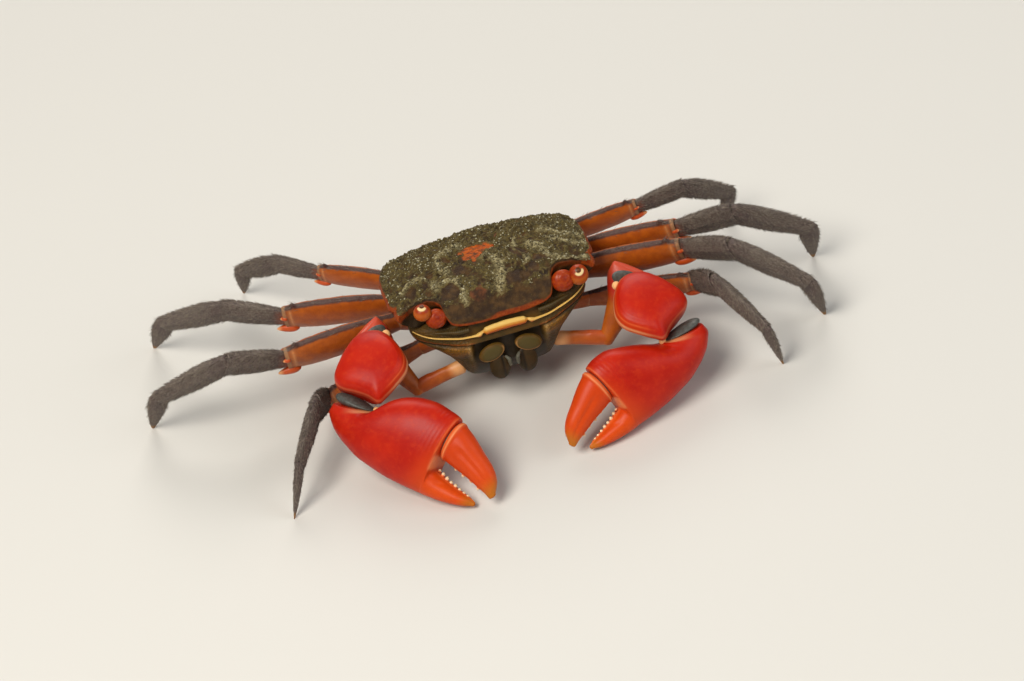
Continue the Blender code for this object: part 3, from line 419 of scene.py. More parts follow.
def to_line(x, y, points):
    """The distance from places to a line through points."""
    best = np.full(np.shape(x), 99.0)
    for (x0, y0), (x1, y1) in zip(points, points[1:]):
        run = (x1 - x0) ** 2 + (y1 - y0) ** 2
        t = np.clip(((x - x0) * (x1 - x0) + (y - y0) * (y1 - y0)) / run, 0, 1)
        best = np.minimum(best, np.hypot(x - x0 - t * (x1 - x0), y - y0 - t * (y1 - y0)))
    return best


def stance():
    """The body's axes in the frame, in millimetres, read from the carapace's solid."""
    turn = np.array(Matrix.Rotation(BODY_YAW, 3, "Z") @ Matrix.Rotation(-BODY_PITCH, 3, "X"))
    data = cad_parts["carapace"].data
    corners = np.zeros(len(data.vertices) * 3)
    data.vertices.foreach_get("co", corners)
    local = corners.reshape(-1, 3) / MM @ turn
    across = (local[:, 0].min() + local[:, 0].max()) / 2
    backwards = local[:, 1].max() - REAR_Y
    known = turn @ np.array((across, backwards, 0.0))
    upwards = (ORBITAL_LINE_HEIGHT - known[2]) / turn[2, 2]
    return turn, turn @ np.array((across, backwards, upwards))


BODY_TURN, BODY_PLACE = stance()
FLOOR_PLACE = BODY_PLACE - np.array((0.0, 0.0, ORBITAL_LINE_HEIGHT))


def mirrored(point, side):
    """A place of the left side, on either side."""
    return np.array((point[0] * side, point[1], point[2]))


def body_to_floor(point):
    """A place in the body's axes, in the floor's, before the animal is centred."""
    return BODY_TURN @ np.asarray(point, float) + BODY_PLACE - FLOOR_PLACE


def frame_axes(origin, along, height):
    """Axes with x along, y near height and z out of their plane, as a turn and a place."""
    x = unit(np.asarray(along, float))
    z = unit(np.cross(x, np.asarray(height, float)))
    return np.stack([x, np.cross(z, x), z], -1), np.asarray(origin, float)


def put(points, axes):
    """Points given in some axes, outside them."""
    turn, place = axes
    return points @ turn.T + place


# Forms

class Form:
    """Points and faces of a closed piece, with values at the points that the materials read."""

    def __init__(self, points, faces, corners=None, **masks):
        self.points = points
        self.faces = faces
        self.corners = corners
        self.masks = masks

    def __add__(self, other):
        shift = len(self.points)
        faces = self.faces + [tuple(i + shift for i in face) for face in other.faces]
        masks = {}
        for name in {**self.masks, **other.masks}:
            halves = []
            for form in (self, other):
                known = self.masks.get(name, other.masks.get(name))
                blank = np.zeros((len(form.points), *known.shape[1:]))
                halves.append(form.masks.get(name, blank))
            masks[name] = np.concatenate(halves)
        corners = None
        if self.corners is not None and other.corners is not None:
            corners = np.concatenate([self.corners, other.corners])
        return Form(np.concatenate([self.points, other.points]), faces, corners, **masks)

    def moved(self, axes):
        self.points = put(self.points, axes)
        for name, values in self.masks.items():
            if values.ndim == 2:
                self.masks[name] = values @ axes[0].T
        return self


def ring_form(rings, **masks):
    """A closed form over rings of points, its ends closed to their middles. Masks have one value a point."""
    rows, columns = rings.shape[:2]
    ends = np.stack([rings[0].mean(0), rings[-1].mean(0)])
    points = np.concatenate([rings.reshape(-1, 3), ends])
    i, j = (part.ravel() for part in np.mgrid[0:rows - 1, 0:columns])
    k = (j + 1) % columns
    quads = np.stack([i * columns + j, i * columns + k, (i + 1) * columns + k, (i + 1) * columns + j], -1)
    j = np.arange(columns)
    k = (j + 1) % columns
    first, last = rows * columns, rows * columns + 1
    start = np.stack([np.full(columns, first), k, j], -1)
    end = np.stack([np.full(columns, last), (rows - 1) * columns + j, (rows - 1) * columns + k], -1)
    low = points[start[0]]
    towards = rings[:2].mean(1)
    inside_out = np.dot(np.cross(low[1] - low[0], low[2] - low[0]), towards[1] - towards[0]) > 0
    u, v = (part.ravel() for part in np.mgrid[0:rows - 1, 0:columns])
    square = [np.stack([(u + a) / (rows - 1), (v + b) / columns], -1)
              for a, b in ((0, 0), (0, 1), (1, 1), (1, 0))]
    edge = np.arange(columns) / columns
    near = [np.stack([np.zeros(columns), edge + shift / columns], -1) for shift in (0.5, 1.0, 0.0)]
    far = [np.stack([np.ones(columns), edge + shift / columns], -1) for shift in (0.5, 0.0, 1.0)]
    parts = ((quads, square), (start, near), (end, far))
    faces, corners = [], []
    for block, places in parts:
        places = np.stack(places, 1)
        if inside_out:
            block, places = block[:, ::-1], places[:, ::-1]
        faces += [tuple(face) for face in block.tolist()]
        corners.append(places.reshape(-1, 2))
    full = {}
    for name, values in masks.items():
        tail = values.shape[2:]
        flat = values.reshape(rows * columns, *tail)
        full[name] = np.concatenate([flat, values[0].mean(0)[None], values[-1].mean(0)[None]])
    return Form(points, faces, np.concatenate(corners), **full)


def rib_rings(ribs, rows, columns, fullness=2.2):
    """Rings over ribs that lie in one plane: lower point, upper point, half thickness."""
    table = np.array([(*low, *high, half) for low, high, half in ribs])
    middle = (table[:, 0:2] + table[:, 2:4]) / 2
    places = lengths_along(middle)
    t = np.linspace(0, places[-1], rows)
    table = eased(places, table, t)
    angle = around(columns)
    up, out = squared_off(np.sin(angle), 2 / fullness), squared_off(np.cos(angle), 2 / fullness)
    centre = (table[:, 0:2] + table[:, 2:4]) / 2
    reach = (table[:, 2:4] - table[:, 0:2]) / 2
    flat = centre[:, None] + reach[:, None] * up[None, :, None]
    deep = table[:, 4:5] * out[None]
    return np.concatenate([flat, deep[..., None]], -1), t / places[-1]


def ring_axis(ring, towards):
    """The normal of a ring's plane, on the side of a direction."""
    middle = ring.mean(0)
    quarter = len(ring) // 4
    normal = unit(np.cross(ring[0] - middle, ring[quarter] - middle))
    return normal if normal @ towards > 0 else -normal


def domed(rings, depth, count=8, start=False):
    """Rings with one end drawn in to a dome."""
    if start:
        return domed(rings[::-1], depth, count)[::-1]
    ring = rings[-1]
    middle = ring.mean(0)
    axis = ring_axis(ring, middle - rings[-2].mean(0))
    turn = np.linspace(0, pi / 2, count + 2)[1:-1]
    extra = [middle + (ring - middle) * cos(a) + axis * depth * sin(a) for a in turn]
    return np.concatenate([rings, np.array(extra)])


def capped(rings, start, end):
    """Rings with both ends drawn in to domes, each given as its depth and how many rings it takes."""
    return domed(domed(rings, *end), *start, start=True)


def lengthened(values, before, after, ends=(0.0, 0.0)):
    """Values of rings, carried on over the rings of both domes."""
    wide = values.shape[1:]
    return np.concatenate([np.full((before, *wide), ends[0]), values, np.full((after, *wide), ends[1])])


def cupped(rings, wall, depth):
    """Rings with their far end turned in over its lip to a hollow."""
    ring = rings[-1]
    middle = ring.mean(0)
    axis = ring_axis(ring, middle - rings[-2].mean(0))
    size = np.linalg.norm(ring - middle, axis=1).mean()
    share = wall / size
    extra = []
    for shrink, out in ((0.25, 0.12), (0.6, 0.16), (1.0, 0.1), (1.3, -0.2), (1.6, -0.6), (2.0, -1.0)):
        rise = out * (wall if out > 0 else depth)
        extra.append(middle + (ring - middle) * (1 - share * shrink) + axis * rise)
    extra.append(middle + (ring - middle) * 0.3 - axis * depth)
    return np.concatenate([rings, np.array(extra)])


def ball(centre, radii, rows=24, columns=36, axis=(0.0, 0.0, 1.0)):
    """Rings of an ellipsoid whose poles lie on an axis."""
    turn = frame_axes(centre, axis, (0.3, 0.8, 0.52))
    angle = np.linspace(-pi / 2, pi / 2, rows + 2)[1:-1]
    turned = around(columns)
    x = np.sin(angle)[:, None] * np.ones(columns)
    y = np.cos(angle)[:, None] * np.cos(turned)
    z = np.cos(angle)[:, None] * np.sin(turned)
    points = np.stack([x, y, z], -1) @ turn[0].T
    return points * np.asarray(radii, float) + np.asarray(centre, float)


def tube(path, radii, columns):
    """Rings round a path, with a radius at each of its points."""
    path = np.asarray(path, float)
    run = unit(np.gradient(path, axis=0))
    side = unit(np.cross(run, (0.13, 0.21, 0.97)))
    up = np.cross(side, run)
    angle = around(columns)[:, None]
    ring = side[:, None] * np.cos(angle) + up[:, None] * np.sin(angle)
    return path[:, None] + radii[:, None, None] * ring


def soft_cut(points, place, normal, radius=0.5):
    """Points past a plane are brought back to it, round a soft edge."""
    depth = (points - place) @ normal
    over = np.clip(depth + radius, 0.0, None)
    kept = radius * (1 - np.exp(-over / radius))
    return points - (np.maximum(over - kept, 0.0))[..., None] * normal


def rounded_block(corners, levels, crease):
    """A rounded block from its eight corners: four of one face, then the four opposite."""
    mesh = bmesh.new()
    verts = [mesh.verts.new(corner) for corner in corners]
    for face in ((0, 1, 2, 3), (7, 6, 5, 4), (0, 4, 5, 1), (1, 5, 6, 2), (2, 6, 7, 3), (3, 7, 4, 0)):
        mesh.faces.new([verts[i] for i in face])
    bmesh.ops.recalc_face_normals(mesh, faces=mesh.faces)
    sharpness = mesh.edges.layers.float.new("crease_edge")
    for edge in mesh.edges:
        edge[sharpness] = crease
    data = bpy.data.meshes.new("block")
    mesh.to_mesh(data)
    mesh.free()
    obj = linked("block", data)
    modifier = obj.modifiers.new("soft", "SUBSURF")
    modifier.levels = levels
    modifier.render_levels = levels
    result = bpy.data.meshes.new_from_object(obj.evaluated_get(bpy.context.evaluated_depsgraph_get()))
    points = np.zeros(len(result.vertices) * 3)
    result.vertices.foreach_get("co", points)
    faces = [tuple(polygon.vertices) for polygon in result.polygons]
    bpy.data.objects.remove(obj, do_unlink=True)
    bpy.data.meshes.remove(data)
    bpy.data.meshes.remove(result)
    return points.reshape(-1, 3), faces


def linked(name, data):
    """An object in the scene, of a mesh, a lamp or a camera."""
    obj = bpy.data.objects.new(name, data)
    bpy.context.scene.collection.objects.link(obj)
    return obj


def as_piece(name, form, material, own_node=True):
    """Finishes a form, in millimetres and in the floor's axes, as a piece that shows its own node."""
    mesh = bpy.data.meshes.new(name)
    mesh.from_pydata(((form.points + FLOOR_PLACE) * MM).tolist(), [], form.faces)
    for key, values in form.masks.items():
        vector = values.ndim == 2
        layer = mesh.attributes.new(key, "FLOAT_VECTOR" if vector else "FLOAT", "POINT")
        layer.data.foreach_set("vector" if vector else "value", values.astype(np.float32).ravel())
    if form.corners is not None:
        layer = mesh.uv_layers.new(name="UVMap")
        layer.uv.foreach_set("vector", form.corners.astype(np.float32).ravel())
    mesh.shade_smooth()
    mesh.materials.append(material)
    obj = linked(name + "_surface", mesh)
    finish_piece(obj, [name] if own_node else ())
    return obj


def on_body(name, form, material):
    """Finishes a form in the body's axes."""
    return as_piece(name, form.moved((BODY_TURN, BODY_PLACE - FLOOR_PLACE)), material)


def finish_piece(obj, replaces=()):
    """Says which body the piece rides and which nodes it shows."""
    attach(obj, "root")
    if replaces:
        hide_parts(*replaces)


# Nodes, for materials and for scattering

class Value:
    """An output socket that takes part in sums."""

    def __init__(self, nodes, socket):
        self.nodes = nodes
        self.socket = socket

    def __add__(self, other):
        return self.nodes.maths("ADD", self, other)

    def __sub__(self, other):
        return self.nodes.maths("SUBTRACT", self, other)

    def __rsub__(self, other):
        return self.nodes.maths("SUBTRACT", other, self)

    def __mul__(self, other):
        return self.nodes.maths("MULTIPLY", self, other)

    __radd__ = __add__
    __rmul__ = __mul__

    def beside(self, name):
        """Another output of the same node."""
        return Value(self.nodes, self.socket.node.outputs[name])


def found(sockets, key):
    """A node's socket by its number, or by its name among those in use."""
    if isinstance(key, int):
        return sockets[key]
    return next(socket for socket in sockets if key in (socket.identifier, socket.name) and socket.enabled)


class Nodes:
    """A tree of nodes, all made by one method."""

    def __init__(self, tree):
        self.tree = tree

    def node(self, kind, settings, inputs, output=0):
        made = self.tree.nodes.new(kind)
        for key, value in settings.items():
            setattr(made, key, value)
        for key, value in inputs.items():
            self.feed(made, key, value)
        return Value(self, found(made.outputs, output))

    def feed(self, made, key, value):
        socket = found(made.inputs, key)
        if isinstance(value, Value):
            self.tree.links.new(value.socket, socket)
        else:
            socket.default_value = value

    def maths(self, operation, *values):
        return self.node("ShaderNodeMath", {"operation": operation}, dict(enumerate(values)))

    def add(self, first, second):
        """The sum of two vectors."""
        return self.node("ShaderNodeVectorMath", {"operation": "ADD"}, {0: first, 1: second})

    def scaled(self, vector, size):
        return self.node("ShaderNodeVectorMath", {"operation": "SCALE"}, {"Vector": vector, "Scale": size})


class Finish(Nodes):
    """A procedural material on one Principled shader, in the piece's own coordinates."""

    def __init__(self, name, **constants):
        self.material = bpy.data.materials.new(name)
        self.material.use_nodes = True
        super().__init__(self.material.node_tree)
        self.shader = self.tree.nodes["Principled BSDF"]
        for key, value in constants.items():
            self.shader.inputs[key.replace("_", " ")].default_value = value
        self.place = self.node("ShaderNodeTexCoord", {}, {}, "Object")

    def mask(self, name):
        return self.node("ShaderNodeAttribute", {"attribute_name": name}, {}, "Fac")

    def grain(self, size, detail=3.0, rough=0.55, stretch=None):
        """Noise from 0 to 1 with lumps of a size in millimetres."""
        place = self.place
        if stretch is not None:
            place = self.node("ShaderNodeMapping", {}, {"Vector": place, "Scale": stretch})
        inputs = {"Vector": place, "Scale": 1.0 / (size * MM), "Detail": detail, "Roughness": rough}
        return self.node("ShaderNodeTexNoise", {}, inputs, "Fac")

    def net(self, size):
        """How far a place is from the border between two cells of a size in millimetres."""
        return self.node("ShaderNodeTexVoronoi", {"feature": "DISTANCE_TO_EDGE"},
                         {"Vector": self.place, "Scale": 1.0 / (size * MM)}, "Distance")

    def step(self, value, low, high):
        """From 0 at low to 1 at high."""
        return self.node("ShaderNodeMapRange", {"interpolation_type": "SMOOTHSTEP"},
                         {"Value": value, "From Min": low, "From Max": high}, "Result")

    def mix(self, share, first, second, blend="MIX"):
        return self.node("ShaderNodeMix", {"data_type": "RGBA", "blend_type": blend},
                         {"Factor_Float": share, "A_Color": first, "B_Color": second}, "Result_Color")

    def painted(self, colour, **layers):
        """A colour under further ones, each shown by the mask of its name."""
        for name, layer in layers.items():
            colour = self.mix(self.mask(name), colour, layer)
        return colour

    def bump(self, height, depth):
        """Relief of a depth in millimetres, over any relief set before."""
        inputs = {"Distance": depth * MM, "Height": height}
        if self.shader.inputs["Normal"].is_linked:
            inputs["Normal"] = Value(self, self.shader.inputs["Normal"].links[0].from_socket)
        self.feed(self.shader, "Normal", self.node("ShaderNodeBump", {}, inputs, "Normal"))

    def finished(self, colour, rough, *reliefs):
        """The material with its colour, its roughness and reliefs, each a height and its depth."""
        self.feed(self.shader, "Base Color", colour)
        self.feed(self.shader, "Roughness", rough)
        for height, depth in reliefs:
            self.bump(height, depth)
        return self.material


# Settings

def colour_of(name, described, *shade):
    """A setting for a colour, with its default in display values."""
    return FloatVectorProperty(name=name, description="Colour of " + described, size=4, subtype="COLOR",
                               min=0.0, max=1.0, default=paint(*shade))


def length_of(name, described, default):
    """A setting for a length in metres."""
    return FloatProperty(name=name, description=described, default=default, min=0.0, unit="LENGTH")


def number_of(name, described, default):
    """A setting for how many there are."""
    return IntProperty(name=name, description="Number of " + described, default=default, min=0)


class CrabShell(bpy.types.PropertyGroup):
    silt_height: length_of("Silt height", "Thickness of the silt's ropes on the shell", 0.0005)
    grains: number_of("Grains", "loose silt grains on the shell", 6500)
    grain_size: length_of("Grain size", "Radius of a silt grain", 0.00013)
    shell_colour: colour_of("Shell", "the bare shell", 40, 28, 12)
    silt_colour: colour_of("Silt", "the silt", 104, 90, 50)
    patch_colour: colour_of("Patch", "the bare orange patch", 206, 96, 4)
    rim_colour: colour_of("Rim", "the shell's margin", 128, 46, 6)


class CrabHead(bpy.types.PropertyGroup):
    stalk_colour: colour_of("Eyestalk", "the eyestalks", 158, 58, 8)
    gold_colour: colour_of("Gold", "the bar over the mouth", 196, 118, 28)
    cheek_colour: colour_of("Cheek", "the cheeks", 94, 64, 14)


class CrabClaw(bpy.types.PropertyGroup):
    red: colour_of("Red", "the palms", 184, 32, 6)
    orange: colour_of("Orange", "the fingers", 210, 74, 14)
    cream: colour_of("Cream", "rims and teeth", 240, 190, 130)
    membrane: colour_of("Membrane", "the skin in the joints", 84, 88, 84)
    tooth_size: length_of("Tooth size", "Height of the largest biting tooth", 0.00052)


class CrabLeg(bpy.types.PropertyGroup):
    orange: colour_of("Upper leg", "the upper leg", 182, 92, 18)
    dark: colour_of("Outer leg", "the outer leg", 66, 52, 54)
    knee: colour_of("Knee", "the knee lobes", 196, 78, 22)
    bristles: number_of("Bristles", "bristles on each leg", 4400)
    bristle_length: length_of("Bristle length", "Length of the longest bristles", 0.0009)
    bristle_radius: length_of("Bristle radius", "Radius at a bristle's root", 0.00004)


class CrabStage(bpy.types.PropertyGroup):
    floor_colour: colour_of("Floor", "the floor", 214, 212, 206)
    floor_size: length_of("Floor size", "Length of the floor's sides", 3.0)
    light_power: FloatProperty(name="Light", description="Share of their power that the lamps have",
                               default=1.0, min=0.0, soft_max=2.0, subtype="FACTOR")


# Materials

def shell_finish(settings):
    """Dark shell under olive silt, with red-brown margins and one bare orange patch."""
    make = Finish("shell_finish", Roughness=0.55, Specular_IOR_Level=0.2)
    mottle = make.grain(1.6, 5.0)
    fine = make.grain(0.22, 3.0, 0.7)
    lump = make.grain(0.6, 4.0, 0.65)
    bare = make.mix(make.step(mottle, 0.35, 0.7), settings.shell_colour, paint(84, 58, 26))
    bare = make.mix(make.mask("smooth") * make.step(mottle, 0.6, 0.35) * 0.5, bare, paint(60, 34, 16))
    bare = make.mix(make.mask("rust") * make.step(mottle, 0.3, 0.6) * 0.4, bare, paint(140, 72, 40))
    patch = make.mix(make.step(lump, 0.3, 0.7), paint(164, 66, 2), settings.patch_colour)
    bare = make.mix(make.mask("orange") * make.step(make.grain(0.9, 4.0, 0.7), 0.3, 0.55) * 0.9, bare, patch)
    silt = make.mix(make.step(lump, 0.36, 0.64), paint(62, 50, 28), settings.silt_colour)
    silt = make.mix(make.step(make.grain(2.2, 4.0, 0.6), 0.48, 0.68) * 0.6, silt, paint(56, 44, 24))
    silt = make.mix(make.mask("pale") * make.step(lump, 0.3, 0.65) * 0.75, silt, paint(192, 180, 136))
    silt = make.mix(make.step(fine, 0.6, 0.8) * 0.42, silt, paint(164, 150, 106))
    silt = make.mix(make.step(fine, 0.44, 0.24), silt, paint(44, 38, 22))
    cover = make.step(make.mask("silt") + (fine - 0.5) * 0.9 + (lump - 0.5) * 0.9, 0.26, 0.58)
    rim = make.mix(make.step(make.grain(0.5), 0.35, 0.65), settings.rim_colour, paint(142, 62, 8))
    # The under mask paints the lower walls dark brown, as painted shade under the margin
    colour = make.painted(make.mix(cover, bare, silt), rim=rim, under=paint(58, 44, 26))
    wet = make.step(make.grain(0.45, 2.0), 0.66, 0.74)
    return make.finished(colour, 0.5 + 0.35 * cover - 0.5 * wet, (fine + lump * 1.2, 0.14))


def grain_finish(settings):
    """Loose silt grains, from dark to pale."""
    make = Finish("silt_grain_finish", Roughness=0.8)
    tone = make.mask("tone")
    colour = make.mix(make.step(tone, 0.0, 0.6), paint(70, 62, 40), settings.silt_colour)
    colour = make.mix(make.step(tone, 0.72, 1.0), colour, paint(196, 190, 156))
    shade = make.mix(make.grain(0.2), paint(120, 110, 90), paint(255, 255, 255))
    colour = make.mix(0.5, colour, shade, "MULTIPLY")
    return make.finished(colour, 0.85 - 0.5 * make.step(tone, 0.9, 1.0), (make.grain(0.08), 0.03))


def claw_finish(settings):
    """Satin red shell that turns orange towards the fingers, with pale rims and teeth."""
    make = Finish("claw_finish", Roughness=0.36, Specular_IOR_Level=0.2, Coat_Roughness=0.3, Coat_Weight=0.02)
    mottle = make.grain(0.9, 5.0, 0.6)
    red = make.mix(make.step(make.grain(5.0), 0.3, 0.7), settings.red, paint(168, 20, 4))
    red = make.mix(make.step(mottle, 0.45, 0.75) * 0.4, red, paint(198, 54, 10))
    orange = make.mix(make.step(mottle, 0.35, 0.7) * 0.5, settings.orange, paint(196, 60, 10))
    colour = make.painted(red, orange=orange, olive=paint(176, 110, 26), ridge=paint(228, 112, 56),
                          cream=settings.cream, tooth=paint(234, 212, 172))
    ruling = make.maths("SINE", make.mask("line") * 9.0 + make.grain(2.0) * 3.0)
    return make.finished(colour, 0.32 + 0.18 * mottle, (ruling * make.mask("ruled"), 0.018),
                         (make.grain(0.18, 2.0), 0.014))


def membrane_finish(settings):
    """Thin grey skin of the joints, finely folded."""
    make = Finish("membrane_finish", Roughness=0.45)
    folds = make.grain(0.5, 4.0, 0.6, (1.0, 1.0, 0.4))
    colour = make.mix(make.step(folds, 0.3, 0.7), settings.membrane, paint(64, 62, 56))
    return make.finished(colour, 0.35 + 0.2 * folds, (folds, 0.08))


def leg_orange_finish(settings):
    """Satin orange-brown shell with a dark upper margin, painted shade on its lower side and bright knee
    lobes.
    """
    make = Finish("leg_orange_finish", Roughness=0.42)
    mottle = make.grain(1.4, 5.0, 0.6)
    fine = make.grain(0.3)
    colour = make.mix(make.step(mottle, 0.3, 0.7), settings.orange, paint(160, 76, 16))
    # The dark mask: dark margins and ends of the legs, with painted shade on their undersides and on the
    # claws' arms
    shade = make.step(make.mask("dark") + (mottle - 0.5) * 0.5, 0.3, 0.75)
    colour = make.mix(shade, colour, paint(72, 40, 34))
    colour = make.painted(colour, knee=settings.knee, red=paint(190, 38, 18), cream=paint(238, 178, 116))
    colour = make.mix(make.mask("mud") * make.step(fine, 0.4, 0.6), colour, paint(98, 88, 76))
    return make.finished(colour, 0.34 + 0.2 * fine + 0.2 * shade, (fine, 0.04))


def leg_dark_finish(settings):
    """Dull purple-grey shell with mud in its furrows."""
    make = Finish("leg_dark_finish", Roughness=0.7)
    mottle = make.grain(1.1, 5.0, 0.65)
    fine = make.grain(0.25, 3.0, 0.7)
    colour = make.mix(make.step(mottle, 0.3, 0.7), settings.dark, paint(88, 70, 66))
    colour = make.mix(make.step(fine + make.mask("mud") * 0.3, 0.5, 0.8) * 0.8, colour, paint(122, 112, 98))
    colour = make.painted(colour, knee=paint(150, 70, 34), horn=paint(140, 98, 50))
    return make.finished(colour, 0.5 + 0.3 * fine, (fine + mottle, 0.08))


def bristle_finish():
    """Fine bristles of many tones, from dark to muddy."""
    make = Finish("bristle_finish", Roughness=0.6)
    tone = make.mask("tone")
    colour = make.mix(tone, paint(62, 52, 48), paint(150, 136, 120))
    colour = make.mix(make.step(make.grain(2.0), 0.4, 0.7) * 0.5, colour, paint(92, 80, 72))
    return make.finished(colour, 0.5 + 0.2 * tone)


def eye_finish(settings):
    """Red-orange stalk, yellow-orange bulb, dark cornea and its cream crescent."""
    make = Finish("eye_finish", Roughness=0.34, Specular_IOR_Level=0.25, Coat_Weight=0.05,
                  Coat_Roughness=0.15)
    mottle = make.grain(0.5, 4.0)
    colour = make.mix(make.step(mottle, 0.35, 0.7), settings.stalk_colour, paint(140, 38, 8))
    colour = make.mix(make.mask("deep") * 0.7, colour, paint(116, 24, 10))
    colour = make.painted(colour, yellow=paint(176, 88, 26), cream=paint(232, 206, 150),
                          pupil=paint(104, 56, 22), core=paint(44, 22, 12))
    return make.finished(colour, 0.3 + 0.16 * mottle, (make.grain(0.12, 2.0), 0.012))


def gold_finish(settings):
    """Cream-gold shell, orange along its lower edge."""
    make = Finish("gold_finish", Roughness=0.32, Specular_IOR_Level=0.35, Coat_Weight=0.05)
    mottle = make.grain(0.6, 4.0)
    colour = make.mix(make.step(mottle, 0.3, 0.7), settings.gold_colour, paint(206, 134, 40))
    colour = make.painted(colour, upper=paint(222, 182, 98), lower=paint(182, 84, 16), red=paint(196, 92, 44))
    return make.finished(colour, 0.26 + 0.16 * mottle, (make.grain(0.25), 0.03))


def underside_finish(settings):
    """Olive-brown shell with golden tints, finely netted."""
    make = Finish("underside_finish", Roughness=0.5, Specular_IOR_Level=0.3)
    mottle = make.grain(2.2, 5.0, 0.6)
    net = make.net(0.55)
    netted = make.mask("net")
    colour = make.mix(make.step(mottle, 0.3, 0.7), settings.cheek_colour, paint(66, 50, 10))
    colour = make.painted(colour, gold=paint(136, 90, 20), olive=paint(78, 66, 28), orange=paint(188, 92, 32),
                          cream=paint(222, 184, 118), grey=paint(86, 84, 70), shade=paint(26, 20, 10))
    colour = make.mix(make.step(net, 0.12, 0.02) * netted * 0.5, colour, paint(44, 36, 16))
    return make.finished(colour, 0.4 + 0.2 * mottle, (make.step(net, 0.0, 0.2) * netted, 0.05),
                         (make.grain(0.4), 0.03))


# Shell

def shell_height(x, y):
    """The upper surface of the carapace above the orbital line, with its swellings and furrows."""
    across = np.minimum(np.abs(x) / HALF_SHELL, 1.0)
    behind = np.maximum((y - DOME_CREST) / (REAR_Y - DOME_CREST), 0.0)
    ahead = np.maximum((DOME_CREST - y) / (DOME_CREST - FRONT_Y), 0.0)
    height = DOME_HEIGHT * (1 - across ** 2.6) - REAR_FALL * behind ** 2.6
    height -= FRONT_FALL * ahead ** 2.2 * (1 - 0.75 * across ** 2)
    for centre, radii, rise in SHELL_SWELLINGS:
        height += rise * in_place(np.abs(x), y, centre, radii)
    for points, half, depth in SHELL_FURROWS:
        height -= depth * bell(to_line(np.abs(x), y, points), 0.0, half)
    inside = np.clip(BROW_HALF + 0.6 - np.abs(x), 0.0, 1.0)
    steep = np.maximum((BROW_Y - y) / (BROW_Y - FRONT_Y), 0.0)
    return height - BROW_FALL * steep ** 1.3 * inside


def shell_outline(count):
    """Points round the shell's margin, evenly spaced, from the middle of the front to the left."""
    share = np.array((ORBITAL_BREADTH / 2, CARAPACE_LENGTH))
    start = np.array((0.0, FRONT_Y))
    stretches = [np.array(points) * share + start for points in SHELL_OUTLINE]
    lengths = [lengths_along(points)[-1] for points in stretches]
    left = []
    for points, length in zip(stretches, lengths):
        steps = max(int(round(count / 2 * length / sum(lengths))), 4)
        left.append(along_path(points, steps + 1)[:-1])
    left = np.concatenate(left + [stretches[-1][-1:]])
    return np.concatenate([left, left[-2:0:-1] * np.array((-1.0, 1.0))])


def silt_on(x, y):
    """At places of the shell: how much silt lies there, how it is heaped up, how bare they are, its ropes."""
    place = np.stack([x, y, np.zeros_like(x)], -1)
    warp = np.stack([noise(place, 1.6, 11), noise(place, 1.6, 12)], -1) * 0.55
    wx, wy = x + warp[..., 0], y + warp[..., 1]
    bare = np.zeros_like(x)
    for centre, radii in BARE_PLACES:
        bare = np.maximum(bare, 0.8 * fade(0.25, 0.75, in_place(wx, wy, centre, radii)))
    bare = np.maximum(bare, 0.75 * fade(-0.6, -1.6, wy) * fade(10.2, 9.0, np.abs(x)))
    rope = np.zeros_like(x)
    for points, half in SILT_ROPES:
        rope = np.maximum(rope, bell(to_line(wx, wy, points), 0.0, half))
    warped = place + np.concatenate([warp, np.zeros_like(x)[..., None]], -1) * 0.8
    broad = fade(0.32, 0.05, cracks(warped, 2.6, 5))
    close = fade(0.34, 0.06, cracks(warped, 1.05, 9))
    net = np.maximum(0.9 * broad, 0.62 * close)
    heaps = layered(place, 2.4, 3, 31)
    rear = fade(8.0, 14.0, y + 0.25 * np.abs(x))
    amount = 0.1 + 0.75 * net + 0.35 * heaps + 0.18 * rear
    amount = np.maximum(amount, rope) * (1 - bare * (1 - 0.4 * rope))
    return np.clip(amount, 0.0, 1.0), np.clip(net + rope, 0.0, 1.4), bare, rope * (1 - bare)


def spots(x, y, places, low, high):
    """1 in any of a few oval places, 0 outside them."""
    return sum(fade(low, high, in_place(x, y, centre, radii)) for centre, radii in places).clip(0, 1)


